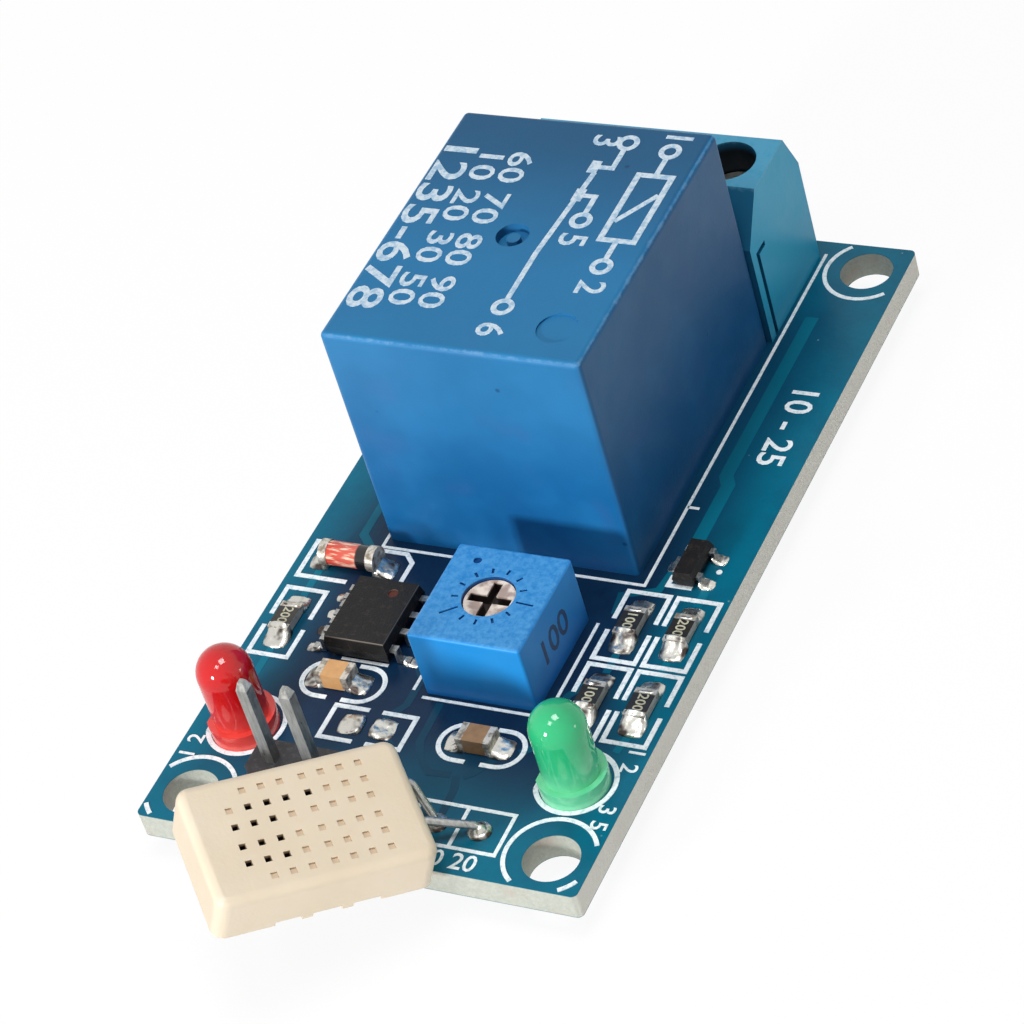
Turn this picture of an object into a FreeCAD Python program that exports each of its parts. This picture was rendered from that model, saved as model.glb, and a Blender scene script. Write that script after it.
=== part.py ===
"""Sensor relay module: a 50 x 26 mm circuit board with everything that stands on it.

X runs across the board, Y along it from the sensor to the screw terminals, and Z up.
The origin is the centre of the four corner holes, on the board's underside.
"""

import FreeCAD
import Part
import math
import os
import Sketcher

Vector = FreeCAD.Vector
document = FreeCAD.newDocument("sensor_relay_module")
sheet = document.addObject("Spreadsheet::Sheet", "sizes")
sub_parts = []
lead_holes = []
board_tails = []


# Sizes: each is written once, in the sheet, and used by its name

class Length:
    """A length that keeps its number together with its wording in the sheet's names."""

    def __init__(self, text, number):
        self.text = text
        self.number = number

    def __float__(self):
        return self.number

    def __neg__(self):
        return Length(f"(0 - {self.text})", -self.number)

    def __add__(self, other):
        other = as_length(other)
        return Length(f"({self.text} + {other.text})", self.number + other.number)

    def __radd__(self, other):
        return as_length(other) + self

    def __sub__(self, other):
        other = as_length(other)
        return Length(f"({self.text} - {other.text})", self.number - other.number)

    def __rsub__(self, other):
        return as_length(other) - self

    def __mul__(self, factor):
        factor = as_length(factor)
        return Length(f"({self.text} * {factor.text})", self.number * factor.number)

    def __rmul__(self, factor):
        return self * factor

    def __truediv__(self, divisor):
        divisor = as_length(divisor)
        return Length(f"({self.text} / {divisor.text})", self.number / divisor.number)


def as_length(value):
    """A plain number as a length; a length stays as it is."""
    if isinstance(value, Length):
        return value
    return Length(f"({float(value)})", float(value))


def size(name, millimetres):
    """Write one driving dimension into the next row of the sheet."""
    row = size.rows = getattr(size, "rows", 0) + 1
    sheet.set(f"A{row}", name)
    sheet.set(f"B{row}", str(millimetres))
    sheet.setAlias(f"B{row}", name)
    return Length(f"sizes.{name}", float(millimetres))


# Ways of making: blocks, rods, sketched outlines, and what joins or cuts them

def bind(item, name, length):
    item.setExpression(name, as_length(length).text)


def put(item, x, y, z):
    """Bind the place of an item to the sheet."""
    bind(item, "Placement.Base.x", x)
    bind(item, "Placement.Base.y", y)
    bind(item, "Placement.Base.z", z)
    return item


def block(name, x, y, z):
    """A box; each of x, y and z is a pair of its lowest and highest value."""
    item = document.addObject("Part::Box", name)
    bind(item, "Length", x[1] - x[0])
    bind(item, "Width", y[1] - y[0])
    bind(item, "Height", z[1] - z[0])
    return put(item, x[0], y[0], z[0])


def rod(name, radius, x, y, z):
    """A round bar; the one of x, y and z that is a pair gives its two ends."""
    item = document.addObject("Part::Cylinder", name)
    bind(item, "Radius", radius)
    if isinstance(x, tuple):
        item.Placement.Rotation = FreeCAD.Rotation(Vector(0, 1, 0), 90)
        bind(item, "Height", x[1] - x[0])
        return put(item, x[0], y, z)
    if isinstance(y, tuple):
        item.Placement.Rotation = FreeCAD.Rotation(Vector(1, 0, 0), -90)
        bind(item, "Height", y[1] - y[0])
        return put(item, x, y[0], z)
    bind(item, "Height", z[1] - z[0])
    return put(item, x, y, z[0])


def cone(name, low_radius, high_radius, x, y, z):
    """A cone frustum standing along Z."""
    item = document.addObject("Part::Cone", name)
    bind(item, "Radius1", low_radius)
    bind(item, "Radius2", high_radius)
    bind(item, "Height", z[1] - z[0])
    return put(item, x, y, z[0])


def sloped_block(name, x, y, z, low_inset, high_inset):
    """A box whose lower and upper faces are drawn in on all four sides."""
    item = document.addObject("Part::Wedge", name)
    item.Placement.Rotation = FreeCAD.Rotation(Vector(1, 0, 0), 90)
    bind(item, "Xmin", low_inset)
    bind(item, "Xmax", x[1] - x[0] - low_inset)
    bind(item, "X2min", high_inset)
    bind(item, "X2max", x[1] - x[0] - high_inset)
    bind(item, "Zmin", low_inset)
    bind(item, "Zmax", y[1] - y[0] - low_inset)
    bind(item, "Z2min", high_inset)
    bind(item, "Z2max", y[1] - y[0] - high_inset)
    bind(item, "Ymin", 0)
    bind(item, "Ymax", z[1] - z[0])
    return put(item, x[0], y[1], z[0])


def new_sketch(body, plane, offset):
    """A sketch on one of the body's own planes, moved along the plane's normal."""
    sketch = body.newObject("Sketcher::SketchObject", body.Name + "_sketch")
    support = [face for face in body.Origin.OriginFeatures if face.Role == plane + "_Plane"]
    sketch.AttachmentSupport = [(support[0], "")]
    sketch.MapMode = "FlatFace"
    bind(sketch, "AttachmentOffset.Base.z", offset)
    return sketch


def pin_point(sketch, geometry, end, across, up):
    """Hold one end of a line at two bound distances from the sketch's origin."""
    row = sketch.addConstraint(Sketcher.Constraint("DistanceX", -1, 1, geometry, end, float(across)))
    sketch.setExpression(f"Constraints[{row}]", as_length(across).text)
    row = sketch.addConstraint(Sketcher.Constraint("DistanceY", -1, 1, geometry, end, float(up)))
    sketch.setExpression(f"Constraints[{row}]", as_length(up).text)


def draw_outline(sketch, corners):
    """A closed run of straight lines through the corners, each corner bound to the sheet."""
    points = [Vector(float(across), float(up), 0) for across, up in corners]
    count = len(points)
    lines = [sketch.addGeometry(Part.LineSegment(points[i], points[(i + 1) % count]), False)
             for i in range(count)]
    for i, line in enumerate(lines):
        sketch.addConstraint(Sketcher.Constraint("Coincident", line, 2, lines[(i + 1) % count], 1))
    for line, (across, up) in zip(lines, corners):
        pin_point(sketch, line, 1, across, up)


def profile(name, plane, corners, span):
    """An outline drawn on the XY, YZ or XZ plane and padded over a span of the third axis."""
    body = document.addObject("PartDesign::Body", name)
    low, high = span
    sketch = new_sketch(body, plane, -high if plane == "XZ" else low)
    draw_outline(sketch, corners)
    pad = body.newObject("PartDesign::Pad", name + "_pad")
    pad.Profile = sketch
    bind(pad, "Length", high - low)
    return body


def cut(name, base, tools):
    """The base without the tools."""
    item = document.addObject("Part::Cut", name)
    item.Base = base
    item.Tool = tools[0] if len(tools) == 1 else join(name + "_tools", tools)
    return item


def join(name, items):
    """Several shapes fused into one."""
    item = document.addObject("Part::MultiFuse", name)
    item.Shapes = items
    item.Refine = True
    return item


def group(name, items):
    """Separate solids that share one node."""
    item = document.addObject("Part::Compound", name)
    item.Links = items
    return item


def eased(name, kind, base, amount, chosen):
    """The base with the chosen edges rounded (Fillet) or bevelled (Chamfer)."""
    document.recompute()
    item = document.addObject("Part::" + kind, name)
    item.Base = base
    width = float(amount)
    item.Edges = [(number, width, width) for number, edge in enumerate(base.Shape.Edges, 1)
                  if chosen(edge)]
    return item


def is_upright(edge):
    """True for a straight edge along Z."""
    ends = edge.Vertexes
    return len(ends) == 2 and abs(ends[0].X - ends[1].X) < 1e-6 and abs(ends[0].Y - ends[1].Y) < 1e-6


def keep(item, label):
    """Name a finished sub-part; its label is also the name of its file."""
    item.Label = label
    sub_parts.append(item)
    return item


def about(centre, half):
    """The pair that lies half to each side of a centre."""
    return (centre - half, centre + half)


def drill(x, y, radius):
    """Note a plated hole that a lead needs in the board."""
    lead_holes.append((x, y, radius))


# Circuit board: the slab's own sizes; its holes are drilled at the end, once all leads are known

board_width = size("board_width", 26.0)
board_length = size("board_length", 50.0)
board_thickness = size("board_thickness", 1.6)
board_corner_radius = size("board_corner_radius", 0.35)
hole_spacing_across = size("hole_spacing_across", 21.4)
hole_spacing_along = size("hole_spacing_along", 45.7)
mounting_hole_diameter = size("mounting_hole_diameter", 3.1)
tail_below_board = size("tail_below_board", 1.6)
hole_clearance = size("hole_clearance", 0.12)
running_gap = size("running_gap", 0.05)

top = board_thickness
tail = -tail_below_board


def square_lead(name, x, y, half, top_z):
    """A square lead from its tail under the board up to a height, with its hole."""
    drill(x, y, half * math.sqrt(2) + hole_clearance)
    board_tails.append((x, y, half))
    return block(name, about(x, half), about(y, half), (tail, top_z))


# Relay cover: a blue moulded box, open below, with a vent well round a stub and a mould mark on its roof

relay_x = size("relay_x", -0.5)
relay_y = size("relay_y", 6.48)
relay_width = size("relay_width", 15.5)
relay_length = size("relay_length", 19.1)
relay_height = size("relay_height", 15.3)
relay_wall = size("relay_wall", 0.8)
relay_roof = size("relay_roof", 1.0)
relay_edge_radius = size("relay_edge_radius", 0.35)
vent_radius = size("vent_radius", 0.95)
vent_depth = size("vent_depth", 0.55)
vent_stub_radius = size("vent_stub_radius", 0.4)
vent_stub_drop = size("vent_stub_drop", 0.2)
vent_across = size("vent_across", -0.26)
vent_along = size("vent_along", -0.28)
mould_mark_radius = size("mould_mark_radius", 1.15)
mould_mark_depth = size("mould_mark_depth", 0.12)
mould_mark_across = size("mould_mark_across", 5.39)
mould_mark_along = size("mould_mark_along", -6.98)

relay_front = relay_y - relay_length / 2
relay_back = relay_y + relay_length / 2
relay_left = relay_x - relay_width / 2
relay_right = relay_x + relay_width / 2
relay_top = top + relay_height
inner_front = relay_front + relay_wall
inner_back = relay_back - relay_wall
inner_left = relay_left + relay_wall
inner_right = relay_right - relay_wall
inner_roof = relay_top - relay_roof

relay_block = block("relay_block", (relay_left, relay_right), (relay_front, relay_back), (top, relay_top))
relay_rounded = eased("relay_rounded", "Fillet", relay_block, relay_edge_radius,
                      lambda edge: is_upright(edge) or edge.BoundBox.ZMin > float(relay_top) - 1e-6)
relay_cavity = block("relay_cavity", (inner_left, inner_right), (inner_front, inner_back), (top, inner_roof))
vent_x = relay_x + vent_across
vent_y = relay_y + vent_along
vent_floor = relay_top - vent_depth
vent_well = rod("vent_well", vent_radius, vent_x, vent_y, (vent_floor, relay_top))
vent_stub = rod("vent_stub", vent_stub_radius, vent_x, vent_y, (vent_floor, relay_top - vent_stub_drop))
relay_vent = cut("relay_vent", vent_well, [vent_stub])
relay_mark = rod("relay_mark", mould_mark_radius, relay_x + mould_mark_across, relay_y + mould_mark_along,
                 (relay_top - mould_mark_depth, relay_top))
keep(cut("relay_cover", relay_rounded, [relay_cavity, relay_vent, relay_mark]), "relay_cover")


# Relay contacts: the stack under the roof, from the upper fixed contact down to the iron

contact_radius = size("contact_radius", 0.9)
contact_button = size("contact_button", 0.4)
contact_travel = size("contact_travel", 0.5)
strip_thickness = size("strip_thickness", 0.3)
strip_width = size("strip_width", 1.2)
arm_thickness = size("arm_thickness", 0.25)
arm_width = size("arm_width", 3.6)
contact_setback = size("contact_setback", 1.55)
armature_thickness = size("armature_thickness", 0.9)
armature_width = size("armature_width", 9.0)
armature_gap = size("armature_gap", 0.3)
iron_thickness = size("iron_thickness", 1.0)
common_pin_room = size("common_pin_room", 1.1)

contact_y = inner_front + contact_setback
upper_strip_top = inner_roof - running_gap
upper_strip_under = upper_strip_top - strip_thickness
upper_button_under = upper_strip_under - contact_button
arm_button_top = upper_button_under - running_gap / 2
arm_top = arm_button_top - contact_button
arm_under = arm_top - arm_thickness
arm_button_under = arm_under - contact_button
lower_button_top = arm_button_under - contact_travel - running_gap
lower_strip_top = lower_button_top - contact_button
lower_strip_under = lower_strip_top - strip_thickness
armature_top = arm_under
armature_under = armature_top - armature_thickness
yoke_top = armature_under - running_gap
pole_top = armature_under - armature_gap
yoke_back = inner_back - common_pin_room
yoke_inner = yoke_back - iron_thickness
pin_spread = inner_right - relay_x - strip_width / 2 - running_gap * 4


def fixed_contact(name, side, strip_z, button_z):
    """A contact strip: its pin rises behind the front wall and turns in over the moving contact."""
    pin_x = relay_x + pin_spread * side
    strip_y = (inner_front + running_gap, inner_front + running_gap + strip_thickness)
    drill(pin_x, strip_y[0] + strip_thickness / 2, strip_width / 2 + hole_clearance)
    board_tails.append((pin_x, strip_y[0] + strip_thickness / 2, strip_width / 2))
    upright = block(name + "_upright", about(pin_x, strip_width / 2), strip_y, (tail, strip_z[1]))
    reach = (pin_x - strip_width / 2, relay_x + contact_radius)
    if side < 0:
        shelf_x = reach
    else:
        shelf_x = (relay_x - contact_radius, pin_x + strip_width / 2)
    shelf = block(name + "_shelf", shelf_x, (strip_y[0], contact_y + contact_radius), strip_z)
    button = rod(name + "_button", contact_radius, relay_x, contact_y, button_z)
    return keep(join(name, [upright, shelf, button]), name)


upper_contact = fixed_contact("relay_contact_upper", 1, (upper_strip_under, upper_strip_top),
                              (upper_button_under, upper_strip_under))
lower_contact = fixed_contact("relay_contact_lower", -1, (lower_strip_under, lower_strip_top),
                              (lower_strip_top, lower_button_top))

arm_back = size("arm_back", 4.0)
arm_strip = block("arm_strip", about(relay_x, arm_width / 2),
                  (contact_y - contact_radius, yoke_inner - arm_back), (arm_under, arm_top))
arm_button = rod("arm_button", contact_radius, relay_x, contact_y, (arm_button_under, arm_button_top))
keep(join("relay_contact_arm", [arm_strip, arm_button]), "relay_contact_arm")


# Relay iron and coil: yoke, core and hinged armature, with the bobbin between base and pole

core_radius = size("core_radius", 1.5)
pole_radius = size("pole_radius", 2.5)
pole_thickness = size("pole_thickness", 0.6)
bobbin_wall = size("bobbin_wall", 0.6)
flange_radius = size("flange_radius", 4.5)
flange_thickness = size("flange_thickness", 0.8)
winding_inset = size("winding_inset", 0.3)
base_lift = size("base_lift", 0.3)
base_thickness = size("base_thickness", 1.6)
coil_gap = size("coil_gap", 0.2)
armature_overhang = size("armature_overhang", 0.4)
heel_length = size("heel_length", 0.8)
coil_pin_half = size("coil_pin_half", 0.3)

coil_y = yoke_inner - coil_gap - flange_radius
base_floor = top + base_lift
base_top = base_floor + base_thickness
foot_top = base_top + iron_thickness
pole_under = pole_top - pole_thickness
core_x = relay_x

armature_span = (coil_y - pole_radius - armature_overhang, yoke_inner + heel_length)
keep(block("relay_armature", about(relay_x, armature_width / 2), armature_span,
           (armature_under, armature_top)), "relay_armature")

yoke_outline = [
    (coil_y - flange_radius, base_top),
    (yoke_back, base_top),
    (yoke_back, yoke_top),
    (yoke_inner, yoke_top),
    (yoke_inner, foot_top),
    (coil_y - flange_radius, foot_top),
]
yoke_bar = profile("yoke_bar", "YZ", yoke_outline, about(relay_x, armature_width / 2))
core_seat = rod("core_seat", core_radius, core_x, coil_y, (base_top, foot_top))
keep(cut("relay_yoke", yoke_bar, [core_seat]), "relay_yoke")

core_bar = rod("core_bar", core_radius, core_x, coil_y, (base_top, pole_under))
core_pole = rod("core_pole", pole_radius, core_x, coil_y, (pole_under, pole_top))
keep(join("relay_core", [core_bar, core_pole]), "relay_core")

coil_pin_y = coil_y + flange_radius - strip_width
flange_plate = block("flange_plate", (inner_left + running_gap * 2, inner_right - running_gap * 2),
                     about(coil_y, flange_radius), (foot_top, foot_top + flange_thickness))
bobbin_tube = rod("bobbin_tube", core_radius + bobbin_wall, core_x, coil_y, (foot_top, pole_under))
upper_flange = rod("upper_flange", flange_radius, core_x, coil_y,
                   (pole_under - flange_thickness, pole_under))
bobbin_bore = rod("bobbin_bore", core_radius, core_x, coil_y, (foot_top, pole_under))
coil_pins = []
for side in (-1, 1):
    coil_pins.append(square_lead(f"coil_pin_{side + 2}", relay_x + pin_spread * side, coil_pin_y,
                                 coil_pin_half, foot_top + flange_thickness))
keep(cut("relay_bobbin", join("bobbin_whole", [flange_plate, bobbin_tube, upper_flange]),
         [bobbin_bore] + coil_pins), "relay_bobbin")

winding_outer = rod("winding_outer", flange_radius - winding_inset, core_x, coil_y,
                    (foot_top + flange_thickness, pole_under - flange_thickness))
winding_hollow = rod("winding_hollow", core_radius + bobbin_wall, core_x, coil_y,
                     (foot_top + flange_thickness, pole_under - flange_thickness))
keep(cut("relay_winding", winding_outer, [winding_hollow]), "relay_winding")

common_outline = [
    (yoke_back, tail),
    (yoke_back + strip_thickness, tail),
    (yoke_back + strip_thickness, armature_top + strip_thickness + running_gap * 2),
    (yoke_inner, armature_top + strip_thickness + running_gap * 2),
    (yoke_inner, armature_top + running_gap * 2),
    (yoke_back, armature_top + running_gap * 2),
]
common_y = yoke_back + strip_thickness / 2
drill(relay_x, common_y, strip_width / 2 + hole_clearance)
board_tails.append((relay_x, common_y, strip_width / 2))
common_strip = keep(profile("relay_common_strip", "YZ", common_outline, about(relay_x, strip_width / 2)),
                    "relay_common_strip")
keep(group("relay_coil_pins", coil_pins), "relay_coil_pins")

base_plate = block("base_plate", (inner_left + running_gap, inner_right - running_gap),
                   (inner_front + running_gap, inner_back - running_gap), (base_floor, base_top))
keep(cut("relay_base", base_plate, [upper_contact, lower_contact, common_strip] + coil_pins), "relay_base")


# Terminal housing: three wire ways side by side, each with a screw well above and a mouth behind

terminal_x = size("terminal_x", -0.15)
terminal_gap = size("terminal_gap", 0.07)
terminal_pitch = size("terminal_pitch", 5.08)
terminal_depth = size("terminal_depth", 7.6)
terminal_height = size("terminal_height", 9.6)
front_shoulder = size("front_shoulder", 6.8)
front_slope = size("front_slope", 2.1)
back_shoulder = size("back_shoulder", 7.0)
back_slope = size("back_slope", 1.2)
terminal_front_wall = size("terminal_front_wall", 0.9)
terminal_back_wall = size("terminal_back_wall", 1.0)
chamber_half = size("chamber_half", 2.0)
chamber_height = size("chamber_height", 6.2)
well_radius = size("well_radius", 1.7)
well_floor = size("well_floor", 6.5)
mouth_half = size("mouth_half", 1.75)
mouth_sill = size("mouth_sill", 0.7)
mouth_head = size("mouth_head", 3.9)
key_depth = size("key_depth", 0.35)
tongue_depth = size("tongue_depth", 0.25)
key_width = size("key_width", 0.35)
key_setback = size("key_setback", 0.6)
key_height = size("key_height", 6.1)
key_arm = size("key_arm", 1.2)
clamp_wall = size("clamp_wall", 0.45)
clamp_depth = size("clamp_depth", 4.6)
clamp_floor = size("clamp_floor", 0.6)
clamp_roof = size("clamp_roof", 0.8)
clamp_travel = size("clamp_travel", 1.6)
plate_thickness = size("plate_thickness", 0.7)
plate_half = size("plate_half", 1.2)
plate_under = size("plate_under", 2.9)
terminal_pin_half = size("terminal_pin_half", 0.5)
screw_radius = size("screw_radius", 1.2)
head_radius = size("head_radius", 1.6)
head_height = size("head_height", 0.95)
slot_width = size("slot_width", 0.5)
slot_depth = size("slot_depth", 0.55)

terminal_front = relay_back + terminal_gap
terminal_back = terminal_front + terminal_depth
terminal_half = terminal_pitch * 1.5
terminal_left = terminal_x - terminal_half
terminal_right = terminal_x + terminal_half
terminal_top = top + terminal_height
chamber_front = terminal_front + terminal_front_wall
chamber_back = terminal_back - terminal_back_wall
clamp_back = chamber_back - running_gap * 2
clamp_front = clamp_back - clamp_depth
screw_y = (clamp_front + clamp_back) / 2
plate_top = plate_under + plate_thickness

terminal_outline = [
    (terminal_front, top),
    (terminal_back, top),
    (terminal_back, top + back_shoulder),
    (terminal_back - back_slope, terminal_top),
    (terminal_front + front_slope, terminal_top),
    (terminal_front, top + front_shoulder),
]
terminal_solid = profile("terminal_solid", "YZ", terminal_outline, (terminal_left, terminal_right))
key_front = terminal_front + key_setback
tongue = block("terminal_tongue", (terminal_left - tongue_depth, terminal_left),
               (key_front + running_gap, key_front + key_width - running_gap),
               (top, top + key_height - running_gap))
terminal_keyed = join("terminal_keyed", [terminal_solid, tongue])

terminal_cuts = [
    block("terminal_groove", (terminal_right - key_depth, terminal_right),
          (key_front, key_front + key_width), (top, top + key_height)),
    block("terminal_groove_arm", (terminal_right - key_depth, terminal_right),
          (key_front, key_front + key_arm), (top + key_height - key_width, top + key_height)),
]
for pole in range(3):
    number = pole + 1
    pole_x = terminal_x + terminal_pitch * (pole - 1)
    terminal_cuts.append(block(f"chamber_{number}", about(pole_x, chamber_half),
                               (chamber_front, chamber_back), (top, top + chamber_height)))
    terminal_cuts.append(rod(f"well_{number}", well_radius, pole_x, screw_y,
                             (top + well_floor, terminal_top)))
    terminal_cuts.append(rod(f"neck_{number}", screw_radius + running_gap * 2, pole_x, screw_y,
                             (top + chamber_height, top + well_floor)))
    terminal_cuts.append(block(f"mouth_{number}", about(pole_x, mouth_half),
                               (chamber_back, terminal_back), (top + mouth_sill, top + mouth_head)))
keep(cut("terminal_housing", terminal_keyed, terminal_cuts), "terminal_housing")


# Terminal clamps: a cage that climbs its screw, a screw that bears on the plate, and the plate's pin

clamp_bottom = top + running_gap * 3
window_floor = clamp_bottom + clamp_floor
window_head = top + plate_top + running_gap
clamp_top = window_head + clamp_roof
clamp_half = chamber_half - running_gap * 2
head_under = top + well_floor + running_gap
screw_tip = top + plate_top + running_gap
leg_front = chamber_front + running_gap
leg_back = clamp_front - running_gap * 2

for pole in range(3):
    number = pole + 1
    pole_x = terminal_x + terminal_pitch * (pole - 1)
    cage = block(f"cage_{number}", about(pole_x, clamp_half), (clamp_front, clamp_back),
                 (clamp_bottom, clamp_top))
    window = block(f"window_{number}", about(pole_x, clamp_half - clamp_wall), (clamp_front, clamp_back),
                   (window_floor, window_head))
    thread = rod(f"thread_{number}", screw_radius + running_gap, pole_x, screw_y, (window_head, clamp_top))
    keep(cut(f"terminal_clamp_{number}", cage, [window, thread]), f"terminal_clamp_{number}")

    shank = rod(f"shank_{number}", screw_radius, pole_x, screw_y, (screw_tip, head_under))
    head = rod(f"head_{number}", head_radius, pole_x, screw_y, (head_under, head_under + head_height))
    slot = block(f"slot_{number}", about(pole_x, head_radius), about(screw_y, slot_width / 2),
                 (head_under + head_height - slot_depth, head_under + head_height))
    keep(cut(f"terminal_screw_{number}", join(f"screw_{number}_whole", [shank, head]), [slot]),
         f"terminal_screw_{number}")

    plate = block(f"plate_{number}", about(pole_x, plate_half), (leg_front, clamp_back),
                  (top + plate_under, top + plate_top))
    leg = block(f"leg_{number}", about(pole_x, terminal_pin_half), (leg_front, leg_back),
                (tail, top + plate_top))
    leg_y = (leg_front + leg_back) / 2
    drill(pole_x, leg_y, terminal_pin_half * math.sqrt(2) + hole_clearance)
    board_tails.append((pole_x, leg_y, terminal_pin_half))
    keep(join(f"terminal_pin_{number}", [plate, leg]), f"terminal_pin_{number}")


# Trimmer: a blue housing with an engraved dial, over a pale rotor with a cross slot, its wiper, the
# track and three pins

trimmer_x = size("trimmer_x", 2.41)
trimmer_y = size("trimmer_y", -10.06)
trimmer_width = size("trimmer_width", 6.7)
trimmer_length = size("trimmer_length", 7.0)
trimmer_height = size("trimmer_height", 4.5)
trimmer_edge_radius = size("trimmer_edge_radius", 0.2)
trimmer_roof = size("trimmer_roof", 0.9)
trimmer_wall = size("trimmer_wall", 0.5)
rotor_face_radius = size("rotor_face_radius", 1.45)
rotor_disc_radius = size("rotor_disc_radius", 2.4)
rotor_disc_thickness = size("rotor_disc_thickness", 1.2)
rotor_recess = size("rotor_recess", 0.25)
cross_width = size("cross_width", 0.55)
cross_depth = size("cross_depth", 0.7)
cross_length = size("cross_length", 2.5)
track_thickness = size("track_thickness", 0.8)
track_lift = size("track_lift", 0.1)
wiper_radius = size("wiper_radius", 1.9)
wiper_thickness = size("wiper_thickness", 0.2)
wiper_foot_radius = size("wiper_foot_radius", 0.3)
tick_start = size("tick_start", 1.7)
tick_end = size("tick_end", 2.1)
long_tick_end = size("long_tick_end", 2.75)
tick_width = size("tick_width", 0.15)
tick_depth = size("tick_depth", 0.12)
trimmer_dimple_radius = size("trimmer_dimple_radius", 0.24)
trimmer_dimple_across = size("trimmer_dimple_across", -1.75)
trimmer_dimple_along = size("trimmer_dimple_along", 2.4)
trimmer_pin_half = size("trimmer_pin_half", 0.25)
trimmer_pin_pitch = size("trimmer_pin_pitch", 2.54)

trimmer_top = top + trimmer_height
trimmer_ceiling = trimmer_top - trimmer_roof
track_top = top + track_lift + track_thickness
rotor_disc_top = trimmer_ceiling - running_gap
rotor_disc_under = rotor_disc_top - rotor_disc_thickness

trimmer_block = block("trimmer_block", about(trimmer_x, trimmer_width / 2),
                      about(trimmer_y, trimmer_length / 2), (top, trimmer_top))
trimmer_rounded = eased("trimmer_rounded", "Fillet", trimmer_block, trimmer_edge_radius,
                        lambda edge: is_upright(edge) or edge.BoundBox.ZMin > float(trimmer_top) - 1e-6)
trimmer_room = block("trimmer_room", about(trimmer_x, trimmer_width / 2 - trimmer_wall),
                     about(trimmer_y, trimmer_length / 2 - trimmer_wall), (top, trimmer_ceiling))
trimmer_window = rod("trimmer_window", rotor_face_radius + running_gap, trimmer_x, trimmer_y,
                     (trimmer_ceiling, trimmer_top))
trimmer_dimple = rod("trimmer_dimple", trimmer_dimple_radius, trimmer_x + trimmer_dimple_across,
                     trimmer_y + trimmer_dimple_along, (trimmer_top - tick_depth, trimmer_top))


def dial_tick(number, angle, end):
    """One engraved tick that points away from the window's centre."""
    item = document.addObject("Part::Box", f"dial_tick_{number}")
    item.Placement.Rotation = FreeCAD.Rotation(Vector(0, 0, 1), angle)
    bind(item, "Length", end - tick_start)
    bind(item, "Width", tick_width)
    bind(item, "Height", tick_depth)
    across, along = math.cos(math.radians(angle)), math.sin(math.radians(angle))
    return put(item, trimmer_x + tick_start * across + tick_width / 2 * along,
               trimmer_y + tick_start * along - tick_width / 2 * across, trimmer_top - tick_depth)


tick_count = 13
dial_ticks = [dial_tick(step + 1, -4 - 360 / tick_count * step, long_tick_end if step in (0, 5) else tick_end)
              for step in range(tick_count)]
keep(cut("trimmer_housing", trimmer_rounded, [trimmer_room, trimmer_window, trimmer_dimple] + dial_ticks),
     "trimmer_housing")

rotor_disc = rod("rotor_disc", rotor_disc_radius, trimmer_x, trimmer_y, (rotor_disc_under, rotor_disc_top))
rotor_face = rod("rotor_face", rotor_face_radius, trimmer_x, trimmer_y,
                 (rotor_disc_top, trimmer_top - rotor_recess))
cross_z = (trimmer_top - rotor_recess - cross_depth, trimmer_top - rotor_recess)
cross_bar = block("cross_bar", about(trimmer_x, cross_length / 2), about(trimmer_y, cross_width / 2),
                  cross_z)
cross_post = block("cross_post", about(trimmer_x, cross_width / 2), about(trimmer_y, cross_length / 2),
                   cross_z)
keep(cut("trimmer_rotor", join("rotor_whole", [rotor_disc, rotor_face]), [cross_bar, cross_post]),
     "trimmer_rotor")

wiper_disc = rod("wiper_disc", wiper_radius, trimmer_x, trimmer_y,
                 (rotor_disc_under - wiper_thickness, rotor_disc_under))
wiper_centre = rod("wiper_centre", wiper_foot_radius, trimmer_x, trimmer_y,
                   (track_top + running_gap, rotor_disc_under - wiper_thickness))
wiper_foot = rod("wiper_foot", wiper_foot_radius, trimmer_x, trimmer_y + wiper_radius - wiper_foot_radius * 2,
                 (track_top + running_gap, rotor_disc_under - wiper_thickness))
keep(join("trimmer_wiper", [wiper_disc, wiper_centre, wiper_foot]), "trimmer_wiper")

keep(block("trimmer_track", about(trimmer_x, trimmer_width / 2 - trimmer_wall - running_gap),
           about(trimmer_y, trimmer_length / 2 - trimmer_wall - running_gap),
           (top + track_lift, track_top)), "trimmer_track")
trimmer_pins = []
for column, row in ((-1, -0.5), (0, 0.5), (1, -0.5)):
    trimmer_pins.append(square_lead(f"trimmer_pin_{column + 2}", trimmer_x + trimmer_pin_pitch * column,
                                    trimmer_y + trimmer_pin_pitch * row, trimmer_pin_half, top + track_lift))
keep(group("trimmer_pins", trimmer_pins), "trimmer_pins")


# Lamps: two 3 mm lenses with a rim, cast round their lead frames

lamp_x = size("lamp_x", 9.87)
lamp_y = size("lamp_y", -17.85)
lamp_radius = size("lamp_radius", 1.55)
lamp_rim_radius = size("lamp_rim_radius", 1.9)
lamp_rim_height = size("lamp_rim_height", 1.0)
lamp_height = size("lamp_height", 5.75)
lamp_flat = size("lamp_flat", 0.3)
lamp_lead_half = size("lamp_lead_half", 0.25)
lamp_lead_pitch = size("lamp_lead_pitch", 2.54)
lamp_anvil_height = size("lamp_anvil_height", 2.3)
lamp_post_height = size("lamp_post_height", 2.6)
lamp_anvil_reach = size("lamp_anvil_reach", 0.75)
lamp_anvil_head = size("lamp_anvil_head", 0.8)


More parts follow.
